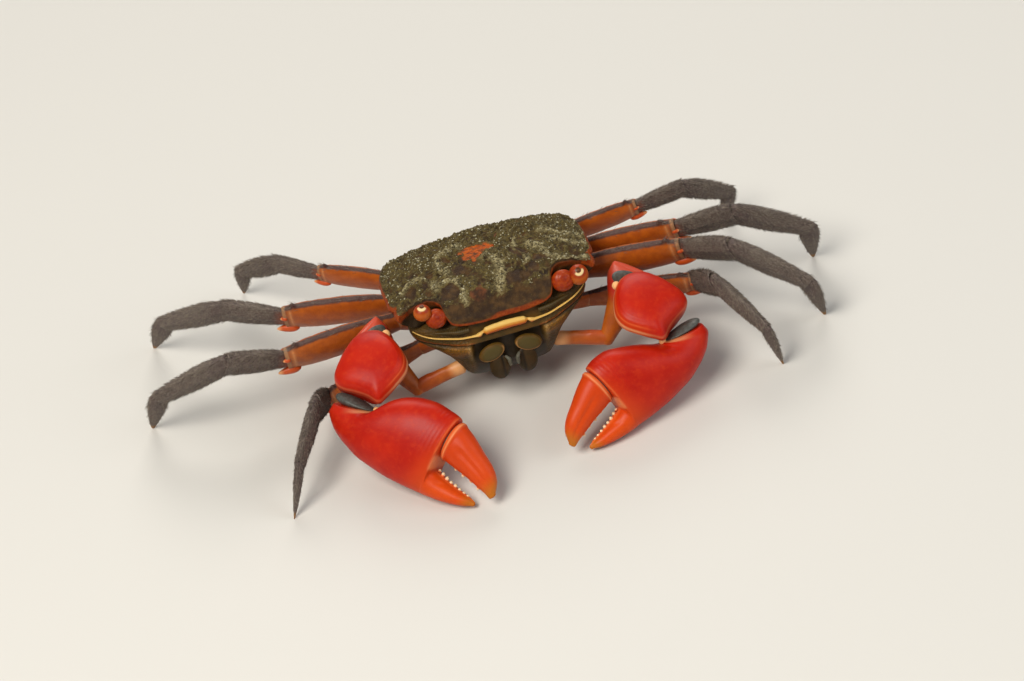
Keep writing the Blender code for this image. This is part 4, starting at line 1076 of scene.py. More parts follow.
def make_carapace(settings):
    """The shell's upper face with its silt, its walls and the hollows behind the eyes."""
    outline = shell_outline(SHELL_COLUMNS)
    columns = len(outline)
    sizes = 1 - np.linspace(1, 0, SHELL_STEPS) ** 1.15 * 0.985
    flat = SHELL_CENTRE + (outline - SHELL_CENTRE) * sizes[:, None, None]
    x, y = flat[..., 0], flat[..., 1]
    amount, heap, bare, rope = silt_on(x, y)
    edge = sizes[:, None] * np.ones(columns)
    amount *= 1 - fade(0.972, 0.99, edge) * 0.8
    place = np.stack([x, y, np.zeros_like(x)], -1)
    lumps = noise(place, 0.75, 40) * 0.5 + noise(place, 0.45, 41) * 0.5 + noise(place, 0.26, 42) * 0.3
    rear = fade(10.0, 20.0, y)
    tall = settings.silt_height / MM
    height = shell_height(x, y) - 0.3 + tall * amount * (0.4 + 0.6 * heap + 0.9 * lumps)
    height += 0.06 * layered(place, 1.2, 2, 51) + 0.3 * rear * layered(place, 1.7, 3, 71)
    height += 0.08 * bell(edge, 0.985, 0.008) - 0.3 * fade(0.985, 1.0, edge) + 0.3 * fade(0.95, 0.98, edge)
    top = np.concatenate([flat, height[..., None]], -1)

    rows = np.array(WALL_ROWS)
    steps = np.linspace(0, 1, WALL_STEPS + 1)[1:]
    table = eased(np.linspace(0, 1, len(rows)), rows, steps)
    rim = top[-1]
    wall = np.zeros((len(steps), columns, 3))
    wall[..., :2] = SHELL_CENTRE + (outline - SHELL_CENTRE) * table[:, 0][:, None, None]
    lowered = fade(UNDERCUT_BACK - 1.5, UNDERCUT_BACK + 1.0, outline[:, 1])
    low = -FRONT_DROP - (SHELL_DEPTH - FRONT_DROP) * lowered
    wall[..., 2] = rim[:, 2] + (low - rim[:, 2]) * table[:, 1][:, None]
    side = np.sign(wall[..., 0:1])
    centre = SOCKET_CENTRE * np.concatenate([side, np.ones_like(side), np.ones_like(side)], -1)
    away = (wall - centre) / SOCKET_RADII
    room = 1 - away[..., 0] ** 2 - away[..., 2] ** 2
    far = centre[..., 1] + SOCKET_RADII[1] * np.sqrt(np.maximum(room, 0.0))
    hollow = (room > 0) & (wall[..., 1] < far)
    wall[..., 1] = np.where(hollow, far, wall[..., 1])
    rough = layered(wall, 1.4, 3, 61) * 0.12 * fade(0.05, 0.3, table[:, 1])[:, None]
    wall += rough[..., None] * np.array((1, 1, 0))

    def spread(upper, lower):
        return np.concatenate([upper, np.broadcast_to(lower, (len(steps), columns))])

    ox, oy = np.abs(outline[:, 0]), outline[:, 1]
    tooth = fade(14.6, 15.8, ox) * fade(2.6, 1.8, oy)
    broad = fade(5.0, 3.0, np.abs(outline[:, 0] - 2.6)) * (oy < 0)
    flank = fade(15.2, 15.8, ox) * fade(1.8, 2.6, oy) * fade(20.0, 6.0, oy)
    width = 0.12 + 0.7 * tooth + 0.14 * broad + 0.4 * flank
    strength = np.where((ox > 9.9) & (ox < 14.8) & (oy < 2.0), 0.45, 1.0) * fade(22.0, 9.0, oy)
    inwards = (1 - edge) * np.linalg.norm(outline - SHELL_CENTRE, axis=1)
    near = fade(width, width * 0.55, inwards) * strength
    below = fade(0.3, 0.08, table[:, 1])[:, None] * strength
    masks = {
        "silt": spread(amount, 0.0),
        "smooth": spread(bare, 0.0),
        "pale": spread(rope, 0.0),
        "rim": spread(near, below),
        "orange": spread(spots(x, y, ORANGE_PLACES, 0.08, 0.3), 0.0),
        "rust": spread(spots(x, y, RUST_PLACES, 0.1, 0.4), 0.0),
        # The lower walls, bare of silt, in dark brown: painted shade under the shell's margin
        "under": spread(np.zeros_like(x), fade(0.25, 0.5, table[:, 1])[:, None] * np.ones(columns)),
    }
    form = ring_form(np.concatenate([top, wall]), **masks)
    plan = form.points[:, :2] / (2.4 * HALF_SHELL) + np.array((0.5, 0.2))
    form.corners = plan[np.concatenate([np.array(face) for face in form.faces])]
    on_body("carapace", form, shell_finish(settings))


# Scattering of small things over a skin

def scatter_tree(name, kind):
    """Small things scattered on a skin by one of its masks, each with its root's place on the skin's map."""
    tree = bpy.data.node_groups.new(name, "GeometryNodeTree")
    make = Nodes(tree)
    tree.interface.new_socket("Geometry", in_out="OUTPUT", socket_type="NodeSocketGeometry")
    for label, sort in (("Skin", "Geometry"), ("Density", "Float"), ("Radius", "Float"), ("Length", "Float"),
                        ("Lean", "Float"), ("Seed", "Int"), ("Finish", "Material")):
        tree.interface.new_socket(label, in_out="INPUT", socket_type="NodeSocket" + sort)
    entry = tree.nodes.new("NodeGroupInput")
    given = {socket.name: Value(make, socket) for socket in entry.outputs if socket.name}

    def known(label, sort="FLOAT"):
        return make.node("GeometryNodeInputNamedAttribute", {"data_type": sort}, {"Name": label}, "Attribute")

    def stored(geometry, label, value, sort, domain):
        return make.node("GeometryNodeStoreNamedAttribute", {"data_type": sort, "domain": domain},
                         {"Geometry": geometry, "Name": label, "Value": value}, "Geometry")

    def chance(low, high, seed, sort="FLOAT"):
        return make.node("FunctionNodeRandomValue", {"data_type": sort},
                         {"Min": low, "Max": high, "Seed": seed}, "Value")

    density = given["Density"] * known("grown")
    made = make.node("GeometryNodeDistributePointsOnFaces", {"distribute_method": "RANDOM"},
                     {"Mesh": given["Skin"], "Density": density, "Seed": given["Seed"]}, "Points")
    points = stored(made, "tone", chance(0.0, 1.0, given["Seed"]), "FLOAT", "POINT")
    wild = chance((-1.0, -1.0, -1.0), (1.0, 1.0, 1.0), given["Seed"] + 7, "FLOAT_VECTOR")
    size = chance(0.35, 1.0, given["Seed"] + 3) * known("tall")
    if kind == "bristle":
        aim = make.add(make.scaled(known("lie", "FLOAT_VECTOR"), given["Lean"]), make.scaled(wild, 0.32))
        cone = {"Vertices": 4, "Side Segments": 1, "Radius Top": 0.12, "Radius Bottom": 1.0, "Depth": 1.0}
        thing = make.node("GeometryNodeMeshCone", {"fill_type": "TRIANGLE_FAN"}, cone, "Mesh")
        sizes = (given["Radius"], given["Radius"], given["Length"] * size)
    else:
        aim = wild
        thing = make.node("GeometryNodeMeshIcoSphere", {}, {"Radius": 1.0, "Subdivisions": 1}, "Mesh")
        across = given["Radius"] * size
        sizes = (across * 1.3, across, across * 0.8)
    scale = make.node("ShaderNodeCombineXYZ", {}, dict(enumerate(sizes)))
    thing = stored(thing, "patch", thing.beside("UV Map"), "FLOAT2", "CORNER")
    turned = make.node("FunctionNodeAlignRotationToVector", {"axis": "Z"},
                       {"Vector": make.add(aim, made.beside("Normal"))}, "Rotation")
    placed = make.node("GeometryNodeInstanceOnPoints", {},
                       {"Points": points, "Instance": thing, "Rotation": turned, "Scale": scale}, "Instances")
    solid = make.node("GeometryNodeRealizeInstances", {}, {"Geometry": placed}, "Geometry")
    baked = make.add(known("UVMap", "FLOAT_VECTOR"), make.scaled(known("patch", "FLOAT_VECTOR"), 0.003))
    solid = stored(solid, "OFBake", baked, "FLOAT2", "CORNER")
    for spare in ("patch", "UVMap", "grown", "tall", "lie"):
        solid = make.node("GeometryNodeRemoveAttribute", {}, {"Geometry": solid, "Name": spare}, "Geometry")
    solid = make.node("GeometryNodeSetMaterial", {}, {"Geometry": solid, "Material": given["Finish"]},
                      "Geometry")
    leave = tree.nodes.new("NodeGroupOutput")
    tree.links.new(solid.socket, leave.inputs["Geometry"])
    return tree


def scattered(name, skin, tree, material, slot, **values):
    """What a tree scatters on a skin, as a plain piece of its own."""
    holder = linked(name + "_holder", skin)
    modifier = holder.modifiers.new("scatter", "NODES")
    modifier.node_group = tree
    sockets = {item.name: item.identifier for item in tree.interface.items_tree if item.in_out == "INPUT"}
    for label, value in {**values, "Finish": material}.items():
        modifier[sockets[label]] = value
    mesh = bpy.data.meshes.new_from_object(holder.evaluated_get(bpy.context.evaluated_depsgraph_get()))
    bpy.data.objects.remove(holder, do_unlink=True)
    mesh.name = name
    if not mesh.materials:
        mesh.materials.append(material)
    finish_piece(linked(name, mesh))


def mesh_area(mesh, mask):
    """The area of a mesh in square metres, counted by a mask at its points."""
    mesh.calc_loop_triangles()
    count = len(mesh.loop_triangles)
    corners = np.zeros(count * 3, np.int32)
    areas = np.zeros(count, np.float32)
    mesh.loop_triangles.foreach_get("vertices", corners)
    mesh.loop_triangles.foreach_get("area", areas)
    values = np.zeros(len(mesh.vertices), np.float32)
    mesh.attributes[mask].data.foreach_get("value", values)
    return float((values[corners.reshape(-1, 3)].mean(1) * areas).sum())


def make_silt_grains(settings):
    """Loose grains, scattered where silt lies on the shell."""
    skin = bpy.data.objects["carapace_surface"].data.copy()
    silt = np.zeros(len(skin.vertices), np.float32)
    skin.attributes["silt"].data.foreach_get("value", silt)
    for spare in ("silt", "smooth", "pale", "rim", "orange", "rust", "under"):
        skin.attributes.remove(skin.attributes[spare])
    for label, values in (("grown", fade(0.35, 0.9, silt)), ("tall", 0.5 + 0.9 * silt)):
        skin.attributes.new(label, "FLOAT", "POINT").data.foreach_set("value", values.astype(np.float32))
    scattered("silt_grains", skin, scatter_tree("silt_grains", "grain"), grain_finish(settings), "shell",
              Density=settings.grains / mesh_area(skin, "grown"), Radius=settings.grain_size,
              Seed=SILT_SEED)
    bpy.data.meshes.remove(skin)


# Head

def face_y(x, z):
    """The front of the cheeks at a place across and up."""
    rows = np.array(sorted(CHEEK_ROWS))
    flat = np.atleast_1d(np.asarray(z, float))
    table = eased(rows[:, 0], rows[:, 1:], np.clip(flat.ravel(), rows[0, 0], rows[-1, 0]))
    half = table[:, 0].reshape(flat.shape)
    front = table[:, 1].reshape(flat.shape)
    back = UNDERCUT_BACK - 0.3
    share = np.clip(np.abs(x) / half, 0, 1)
    return back - (back - front) * (1 - share ** CHEEK_SQUARENESS) ** (1 / CHEEK_SQUARENESS)


def degrees_from(directions, axis):
    """The angles between directions and an axis."""
    return np.degrees(np.arccos(np.clip(directions @ unit(np.array(axis, float)), -1, 1)))


def make_eyes(settings):
    """Each eye is the stalk's ball and the bulb, with a small dark cornea in a cream crescent."""
    finish = eye_finish(settings)
    for name, eye in EYES.items():
        side = SIDES[name]
        centre = np.array(eye["stalk"])
        stalk = ball(centre, eye["stalk_radii"], 48, 72, axis=(0.0, -0.8, 0.6))
        towards = unit(stalk - centre)
        angle = degrees_from(towards, eye["deep"])
        stalk = stalk + towards * (0.03 * np.cos(np.radians(angle * 13)) * fade(75, 50, angle))[..., None]
        form = ring_form(stalk, deep=fade(32, 6, angle) * 0.85)
        centre, gaze = np.array(eye["bulb"]), unit(np.array(eye["gaze"]))
        bulb = ball(centre, eye["bulb_radii"], 64, 96, axis=gaze)
        towards = unit(bulb - centre)
        angle = degrees_from(towards, gaze)
        downwards = unit(np.array((side * 0.3, -0.6, -0.7)))
        across = unit(downwards - gaze * (downwards @ gaze))
        lean = (towards @ across) / np.maximum(np.sin(np.radians(angle)), 0.05)
        crescent = fade(16, 19, angle) * fade(34, 27, angle - 6 * lean) * fade(-0.1, 0.5, lean)
        bead = 0.03 * bell(angle, 18, 4) + 0.04 * crescent
        bulb = bulb + towards * (bead + 0.05 * fade(15, 5, angle))[..., None]
        form = form + ring_form(bulb, yellow=fade(45, 70, angle) * fade(-0.3, 0.3, lean) * 0.9,
                                cream=crescent, pupil=fade(18, 15, angle),
                                core=fade(6, 9, angle) * fade(16, 12, angle) * 0.7)
        on_body("eye_" + name, form, finish)


def make_mouth_rim(settings):
    """The bar over the mouth, which runs on as the lower rim of each orbit."""
    right = [(-x, z, tall, thick) for x, z, tall, thick in MOUTH_RIM[:0:-1]]
    rows = along_path(right + list(MOUTH_RIM), RIM_STEPS)
    x, z, tall, thick = rows.T
    y = face_y(x, z) - 0.25 - thick
    angle = around(RIM_COLUMNS)
    wave = 0.03 * noise(np.stack([x, y, z], -1), 1.1, 3)
    rings = np.stack([np.broadcast_to(x[:, None], (RIM_STEPS, RIM_COLUMNS)),
                      y[:, None] + (thick + wave)[:, None] * np.cos(angle),
                      z[:, None] + (tall + wave)[:, None] * np.sin(angle)], -1)
    rings = capped(rings, (0.12, 4), (0.12, 4))
    across = np.abs(rings[..., 0])
    up = (rings[..., 2] - rings[..., 2].mean(1, keepdims=True)) / 0.6
    bar = fade(4.0, 3.5, across)
    form = ring_form(rings, upper=np.maximum(fade(0.1, 0.6, up) * bar, (1 - bar) * 0.85),
                     lower=fade(0.0, -0.6, up) * bar,
                     red=fade(0.5, 0.0, np.abs(across - 4.4)) * fade(0.2, -0.3, up))
    on_body("mouth_rim", form, gold_finish(settings))


def make_cheeks():
    """The cheeks with the frame round the mouth."""
    rows = np.array(CHEEK_ROWS)
    z = np.linspace(rows[0, 0], rows[-1, 0], 90)
    table = eased(-rows[:, 0], rows[:, 1:], -z)
    x = table[:, 0][:, None] * squared_off(-np.cos(np.linspace(0, pi, 150)), 2 / CHEEK_SQUARENESS)
    deep = np.broadcast_to(z[:, None], x.shape)
    y = face_y(x, deep)
    recess = fade(MOUTH_HALF + 0.5, MOUTH_HALF - 0.5, np.abs(x))
    recess = recess * fade(MOUTH_TOP + 0.3, MOUTH_TOP - 0.5, deep)
    lip = bell(np.abs(x), MOUTH_HALF + 0.5, 0.4) * fade(MOUTH_TOP + 1.0, MOUTH_TOP, deep)
    y = y + recess * np.maximum(MOUTH_FACE - y, 0.0) - 0.14 * lip
    line = -6.7 + 0.12 * np.maximum(np.abs(x) - 6.0, 0.0) ** 1.35
    furrow = bell(deep, line - 1.2, 0.3) * fade(5.2, 6.4, np.abs(x))
    swell = in_place(np.abs(x), deep, (8.2, -8.5), (3.2, 1.5))
    y = y + 0.45 * furrow - 0.5 * swell
    front = np.stack([x, y, deep], -1)
    back = np.stack([x[:, ::-1], np.full_like(x, UNDERCUT_BACK - 0.3), deep], -1)[:, 1:-1]
    rings = np.concatenate([front, back[:, ::6]], 1)
    masks = {
        "gold": fade(0.1, 0.7, swell) * 0.8,
        "orange": bell(deep, line - 0.8, 0.14) * fade(5.0, 6.4, np.abs(x)) * 0.6,
        "shade": np.maximum(recess * 0.85, fade(0.3, 0.8, furrow) * 0.6),
        "net": fade(5.5, 6.5, np.abs(x)) * (1 - recess),
        "cream": lip * 0.3 * fade(-12.0, -9.0, deep),
    }
    behind = np.zeros((len(rings), rings.shape[1] - x.shape[1]))
    return ring_form(rings, **{name: np.concatenate([values, behind], 1) for name, values in masks.items()})


def make_sternum():
    """The plate between the legs, flat on top and below, with a groove between its segments."""
    top, bottom = -SHELL_DEPTH - 0.3, -STERNUM_DEPTH
    near, far, rear = STERNUM_HALF, STERNUM_HALF + 2.0, STERNUM_REAR
    corners = ((-far, 0.0, top + 3.0), (far, 0.0, top + 3.0), (near, rear, top + 3.0),
               (-near, rear, top + 3.0), (-near - 1.6, 0.0, bottom - 1.0), (near + 1.6, 0.0, bottom - 1.0),
               (near - 0.6, rear - 2.2, bottom - 1.0), (0.6 - near, rear - 2.2, bottom - 1.0))
    points, faces = rounded_block(corners, 6, 0.3)
    for height, normal, radius in ((top, (0.0, 0.0, 1.0), 0.2), (bottom, (0.0, 0.0, -1.0), 0.3),
                                   (STERNUM_SLANT, (0.0, -0.56, -0.83), 0.4)):
        points = soft_cut(points, np.array((0.0, 0.0, height)), unit(np.array(normal)), radius)
    across, y, z = np.abs(points[:, 0]), points[:, 1], points[:, 2]
    grooves = np.maximum.reduce([bell(y - 0.12 * across, centre, 0.35) for centre in STERNUM_GROOVES])
    grooves *= fade(1.5, 2.6, across)
    shade = np.maximum(grooves * 0.6, fade(6.0, 2.0, y) * 0.85)
    points[:, 2] += 0.55 * grooves * fade(bottom + 3.0, bottom + 0.6, z)
    return Form(points, faces, None, shade=shade)


def make_abdomen(finish):
    """The tail, folded forwards under the sternum, with a groove between its segments."""
    y, z, half = along_path(ABDOMEN_ROWS, ABDOMEN_STEPS).T
    level = np.zeros_like(y)
    run = unit(np.stack([level, np.gradient(y), np.gradient(z)], -1))
    out = np.stack([level, run[:, 2], -run[:, 1]], -1)
    share = np.linspace(0, 1, ABDOMEN_STEPS)
    groove = np.maximum.reduce([bell(share, centre, 0.008) for centre in ABDOMEN_GROOVES])
    angle = around(ABDOMEN_COLUMNS)
    width = squared_off(np.cos(angle), 0.7)
    thick = ABDOMEN_THICKNESS / 2 * (1 - 0.35 * groove)
    rings = np.stack([level, y, z], -1)[:, None] + (thick[:, None] * np.sin(angle))[..., None] * out[:, None]
    rings[..., 0] += (half * (1 - 0.05 * groove))[:, None] * width
    shade = lengthened(groove, 0, 4)[:, None] * np.ones(ABDOMEN_COLUMNS) * 0.6
    form = ring_form(domed(rings, 0.3, 4), shade=shade, gold=0.3 * np.ones_like(shade))
    on_body("abdomen", form, finish)


def make_mouthparts(finish):
    """The two outer jaw legs: an oval blade with a raised rim, its stem and its palp."""
    for name, side in SIDES.items():
        turn = np.array(Matrix.Rotation(side * BLADE_TILT, 3, "Y"))
        shape = ball((0, 0, 0), (1, 1, 1), 48, 72, axis=(0.0, -1.0, 0.0))
        across = np.hypot(shape[..., 0], shape[..., 2])
        blade = shape * np.array(BLADE_RADII)
        facing = fade(0.1, -0.1, shape[..., 1])
        lower = fade(0.1, -0.35, shape[..., 2] + 0.35 * side * shape[..., 0])
        rim = bell(across, 0.9, 0.05) * facing
        blade[..., 1] += 0.1 * fade(0.8, 0.2, across) * facing - 0.1 * rim
        form = ring_form(blade @ turn.T + mirrored(BLADE_CENTRE, side), cream=rim * lower * 0.3,
                         orange=rim * lower * 0.3, olive=fade(0.98, 0.6, across) * facing)
        middle = mirrored(STEM_CENTRE, side)
        stem = ball(middle, STEM_RADII, 40, 56)
        towards = (stem - middle) / np.array(STEM_RADII)
        crest = bell(towards[..., 0] * side, -0.35, 0.12) * (towards[..., 1] < 0)
        stem[..., 1] += 0.18 * crest
        form = form + ring_form(stem, shade=0.65 + 0.3 * crest)
        path = along_path([mirrored(place, side) for place in PALP], PALP_STEPS)
        palp = tube(path, 0.22 + 0.12 * np.sin(np.linspace(0, pi, PALP_STEPS)), 18)
        palp = capped(palp, (0.2, 4), (0.2, 4))
        form = form + ring_form(palp, grey=np.ones(palp.shape[:2]))
        on_body("maxilliped_" + name, form, finish)


def make_feelers(finish):
    """The short antennae between the eyes and the bar over the mouth."""
    x, z, radius = along_path(FEELER, FEELER_STEPS).T
    ridged = radius * (1 + 0.1 * np.cos(np.arange(FEELER_STEPS) * 1.7))
    for name, side in SIDES.items():
        path = np.stack([side * x, face_y(x, z) - 0.3 - radius, z], -1)
        rings = capped(tube(path, ridged, 20), (0.3, 5), (0.08, 3))
        mask = np.ones(rings.shape[:2])
        form = ring_form(rings, olive=mask * 0.4, shade=mask * 0.3)
        on_body("antenna_" + name, form, finish)


# Legs

def leg_joints(knee, tip, lengths, lean):
    """The two joints between knee and tip, on an even bend whose middle lies up and out."""
    chord = tip - knee
    low, high = 0.0, radians(100.0)
    for _ in range(40):
        bend = (low + high) / 2
        x = lengths[0] + lengths[1] * cos(bend) + lengths[2] * cos(2 * bend)
        y = lengths[1] * sin(bend) + lengths[2] * sin(2 * bend)
        if np.hypot(x, y) > np.linalg.norm(chord):
            low = bend
        else:
            high = bend
    along = unit(chord)
    arch = unit(lean - along * (lean @ along))
    first = atan2(y, x)
    middle = knee + (along * cos(first) + arch * sin(first)) * lengths[0]
    ankle = middle + (along * cos(first - bend) + arch * sin(first - bend)) * lengths[1]
    return middle, ankle


def leg_places(key):
    """The joints of one leg, from the body to the tip, in the floor's axes."""
    number, side = int(key[1]), SIDES[key[0]]
    lean = np.array((0.0, -sin(LEG_LEAN), cos(LEG_LEAN)))
    knee = np.array(KNEES[key])
    tip = np.array((*TIPS[key], 0.0))
    coxa = body_to_floor(mirrored(COXA[number], side))
    reach = body_to_floor(mirrored(HIP_REACH[number], side))
    hip = knee - unit(knee - reach) * MERUS_LENGTH[number]
    return [coxa, hip, knee, *leg_joints(knee, tip, OUTER_LENGTHS[number], lean), tip], lean


def leg_segment(kind, length, breadth, front):
    """A limb segment along x, its upper edge at +y. front is the side of z that faces forwards."""
    ribs = []
    for share, width in SEGMENT_RIBS[kind]:
        half = width * breadth / 2
        ribs.append(((share * length, -half), (share * length, half), half * LEG_THICKNESS))
    rings = rib_rings(ribs, LEG_STEPS[kind], LEG_COLUMNS, 1.9)[0]
    angle = around(LEG_COLUMNS)
    up, out = np.sin(angle), np.cos(angle) * front
    along = rings[..., 0] / length
    if kind in ("carpus", "propodus", "dactyl"):
        rings[..., 2] *= 0.92 + 0.16 * (bell(up, 0.35, 0.16) + bell(up, -0.45, 0.16))
    if kind == "merus":
        crest = fade(0.9, 1.0, up) * fade(0.05, 0.2, along) * fade(1.0, 0.9, along)
        rings[..., 1] += 0.12 * crest * (1 + noise(rings, 0.8, 4))
        rings[..., 1] += 0.9 * bell(along, 0.9, 0.025) * fade(0.93, 1.0, up)
    rings[..., 2] += 0.05 * layered(rings, 1.3, 2, 8) * np.sign(rings[..., 2])
    before = rings.shape[0]
    rings = domed(rings, 0.9 if kind != "dactyl" else 0.5, 7, start=True)
    if kind == "dactyl":
        rings = domed(rings, 0.12, 4)
    else:
        rings = cupped(rings, 0.28, 1.4)
    along = rings[..., 0] / length
    up = np.broadcast_to(up, along.shape)
    out = np.broadcast_to(out, along.shape)
    lip = np.zeros(along.shape)
    lip[before + 4:before + 10] = 1.0
    masks = {}
    if kind in ("base", "merus"):
        # Dark upper margin and dark far end, with painted shade along the underside
        masks["dark"] = np.maximum.reduce([fade(0.88, 1.0, up) * 0.85, fade(0.9, 1.0, along) * 0.7,
                                           fade(-0.85, -1.0, up) * 0.3])
        masks["mud"] = fade(0.8, 1.0, along) * 0.3 + fade(0.9, 1.0, up) * 0.3
        masks["cream"] = lip * 0.35 + 0.4 * bell(along, 0.93, 0.012) * fade(0.2, 0.6, out)
    else:
        masks["mud"] = 0.5 + 0.4 * noise(rings, 4.0, 17)
        masks["horn"] = fade(0.84, 0.93, along) if kind == "dactyl" else np.zeros(along.shape)
        masks["knee"] = fade(0.2, 0.0, along) * fade(0.1, 0.6, out) * (0.6 if kind == "carpus" else 0.0)
    grown = {"base": 0.0, "merus": 0.16 * fade(0.88, 1.0, up), "dactyl": 0.9}.get(kind, 1.0)
    grown = grown * np.ones(along.shape) * fade(1.03, 0.98, along)
    if kind == "dactyl":
        grown = grown * fade(0.86, 0.78, along)
    masks["grown"] = grown * (0.55 + 0.9 * np.abs(up) ** 3)
    masks["tall"] = 0.55 + 0.6 * np.abs(up) ** 4 - (0.3 * fade(0.2, 0.8, along) if kind == "dactyl" else 0.0)
    masks["lie"] = np.broadcast_to(np.array((1.0, 0.0, 0.0)), (*along.shape, 3)).copy()
    return ring_form(rings, **masks)


def knee_lobes(length, breadth, front):
    """The bright lobes on both sides of the knee, and the one below it."""
    total = None
    half = SEGMENT_RIBS["merus"][-1][1] * breadth / 2
    shape = ball((0, 0, 0), (1, 1, 1), 22, 30, axis=(1.0, 0.0, 0.0))
    mask = np.ones(shape.shape[:2])
    narrow = np.stack([mask, 1 - 0.35 * shape[..., 0], 1 - 0.35 * shape[..., 0]], -1)
    for out, up, size, reach in KNEE_LOBES:
        centre = np.array((length - 0.1, half * up, front * out * half * LEG_THICKNESS * 0.72))
        lobe = shape * narrow * np.array((reach, 0.8, 0.7)) * size * breadth / MERUS_BREADTH[3] + centre
        form = ring_form(lobe, knee=mask, cream=fade(0.4, 0.9, shape[..., 0]) * 0.75)
        total = form if total is None else total + form
    return total


def in_tile(form, column, columns):
    """Puts a form's map in one of the tiles that lie side by side on the whole map."""
    form.corners = (form.corners * 0.92 + 0.04 + np.array((column, 0))) / np.array((columns, 1))
    return form


def make_legs(settings):
    """The eight walking legs, each of five segments, and the bristles that grow on each."""
    finishes = {"leg_orange": leg_orange_finish(settings), "leg_dark": leg_dark_finish(settings)}
    tree = scatter_tree("leg_bristles", "bristle")
    bristles = bristle_finish()
    for number, key in enumerate(KNEES):
        joints, lean = leg_places(key)
        breadth = MERUS_BREADTH[int(key[1])]
        skins = []
        for i, kind in enumerate(LEG_KINDS):
            start, end = joints[i], joints[i + 1]
            length = np.linalg.norm(end - start)
            axes = frame_axes(start, end - start, lean)
            front = 1.0 if axes[0][1, 2] < 0 else -1.0
            form = leg_segment(kind, length, breadth, front)
            if kind == "merus":
                form = form + knee_lobes(length, breadth, front)
            form = in_tile(form.moved(axes), i, len(LEG_KINDS))
            slot = "leg_orange" if kind in ("base", "merus") else "leg_dark"
            skins.append(as_piece("leg_%s_%s" % (key, kind), form, finishes[slot]))
        skin = joined_skin(skins)
        scattered("leg_%s_bristles" % key, skin, tree, bristles, "leg_dark",
                  Density=settings.bristles / mesh_area(skin, "grown"), Radius=settings.bristle_radius,
                  Length=settings.bristle_length, Lean=BRISTLE_LEAN,
                  Seed=BRISTLE_SEED + number)
        bpy.data.meshes.remove(skin)


def joined_skin(objects):
    """One mesh over the skins of several pieces, for what grows on them."""
    mesh = bmesh.new()
    for obj in objects:
        mesh.from_mesh(obj.data)
    data = bpy.data.meshes.new("skin")
    mesh.to_mesh(data)
    mesh.free()
    return data


# Claws

def tooth_form(place, height, radius, direction, rows=8, columns=12):
    """A blunt cone with its root sunk in."""
    share = np.linspace(0, 1, rows)
    angle = around(columns)
    width = radius * np.sqrt(1 - share ** 2.2 * 0.96)
    x = place[0] + width[:, None] * np.cos(angle)
    z = place[2] + width[:, None] * np.sin(angle)
    y = place[1] + direction * ((share * 1.5 - 0.5) * height)[:, None] * np.ones(columns)
    rings = np.stack([x, y, z], -1)
    white = np.broadcast_to(fade(0.3, 0.55, share)[:, None], (rows, columns))
    return ring_form(rings, tooth=white, ridge=np.ones((rows, columns)))


def toothed(form, teeth, edge, direction, tall):
    """A finger with its teeth along one edge."""
    largest = max(height for _, height in teeth)
    for place, height in teeth:
        y = np.interp(place, edge[:, 0], edge[:, 1])
        height = height / largest * tall
        root = (place, y + direction * height * 0.2, 0.0)
        form = form + tooth_form(root, height, 0.2 + 0.35 * height, direction)
    return form


def make_palm(name, claw, axes, finish, tall):
    """The palm with the fixed finger, its groove, collar and teeth."""
    ribs = list(PALM_RIBS)
    for i, drop in enumerate(claw["drops"]):
        low, high, half = ribs[i]
        ribs[i] = (low, (high[0], high[1] - drop), half)
    rings, share = rib_rings(ribs, PALM_STEPS, PALM_COLUMNS)
    x = rings[..., 0]
    upper = np.broadcast_to(np.sin(around(PALM_COLUMNS)), x.shape)
    smooth = rings.copy()
    for _ in range(60):
        smooth[1:-1] = (smooth[:-2] + smooth[2:]) / 2
    share_of_smooth = fade(0.2, -0.5, upper) * fade(11.0, 13.0, x) * fade(20.0, 17.0, x)
    rings = rings + (smooth - rings) * share_of_smooth[..., None]
    x = rings[..., 0]
    rings[..., 1] += 0.1 * fade(0.95, 1.0, upper) * fade(15.0, 16.0, x)
    y = rings[..., 1]
    groove = bell(y, 0.25 * (x - 15.0) + 0.4, 0.35) * fade(15.5, 17.0, x) * fade(23.5, 21.0, x)
    rings[..., 2] *= 1 - 0.1 * groove
    rings = capped(rings, (0.15, 6), (0.4, 6))
    x, y = rings[..., 0], rings[..., 1]
    share = lengthened(share, 6, 6, (0.0, 1.0))[:, None]
    upper = lengthened(upper, 6, 6)
    gape = bell(x, 14.35, 0.25) * fade(1.9, 2.6, y) * fade(5.2, 4.4, y)
    collar = bell(x, 14.1, 0.16) * fade(4.6, 5.4, y)
    edge_line = fade(0.93, 1.0, upper) * fade(14.2, 15.0, x)
    form = ring_form(rings, orange=fade(10.5, 18.0, x + 0.25 * (4.0 - y)), olive=fade(20.0, 22.6, x) * 0.75,
                     ridge=np.maximum.reduce([edge_line * 0.6, gape * 0.6, collar * 0.5]),
                     cream=np.maximum(fade(0.03, 0.01, share) * fade(-4.0, 1.0, x) * 0.5, gape * 0.25),
                     line=x, ruled=fade(9.5, 12.0, x) * fade(14.2, 13.8, x) * fade(2.0, 4.0, y) * 0.5)
    edge = np.array([high for _, high, _ in PALM_RIBS[FIXED_FINGER_START:]])
    form = toothed(form, FIXED_TEETH, edge, 1.0, tall)
    as_piece("claw_%s_palm" % name, form.moved(axes), finish)


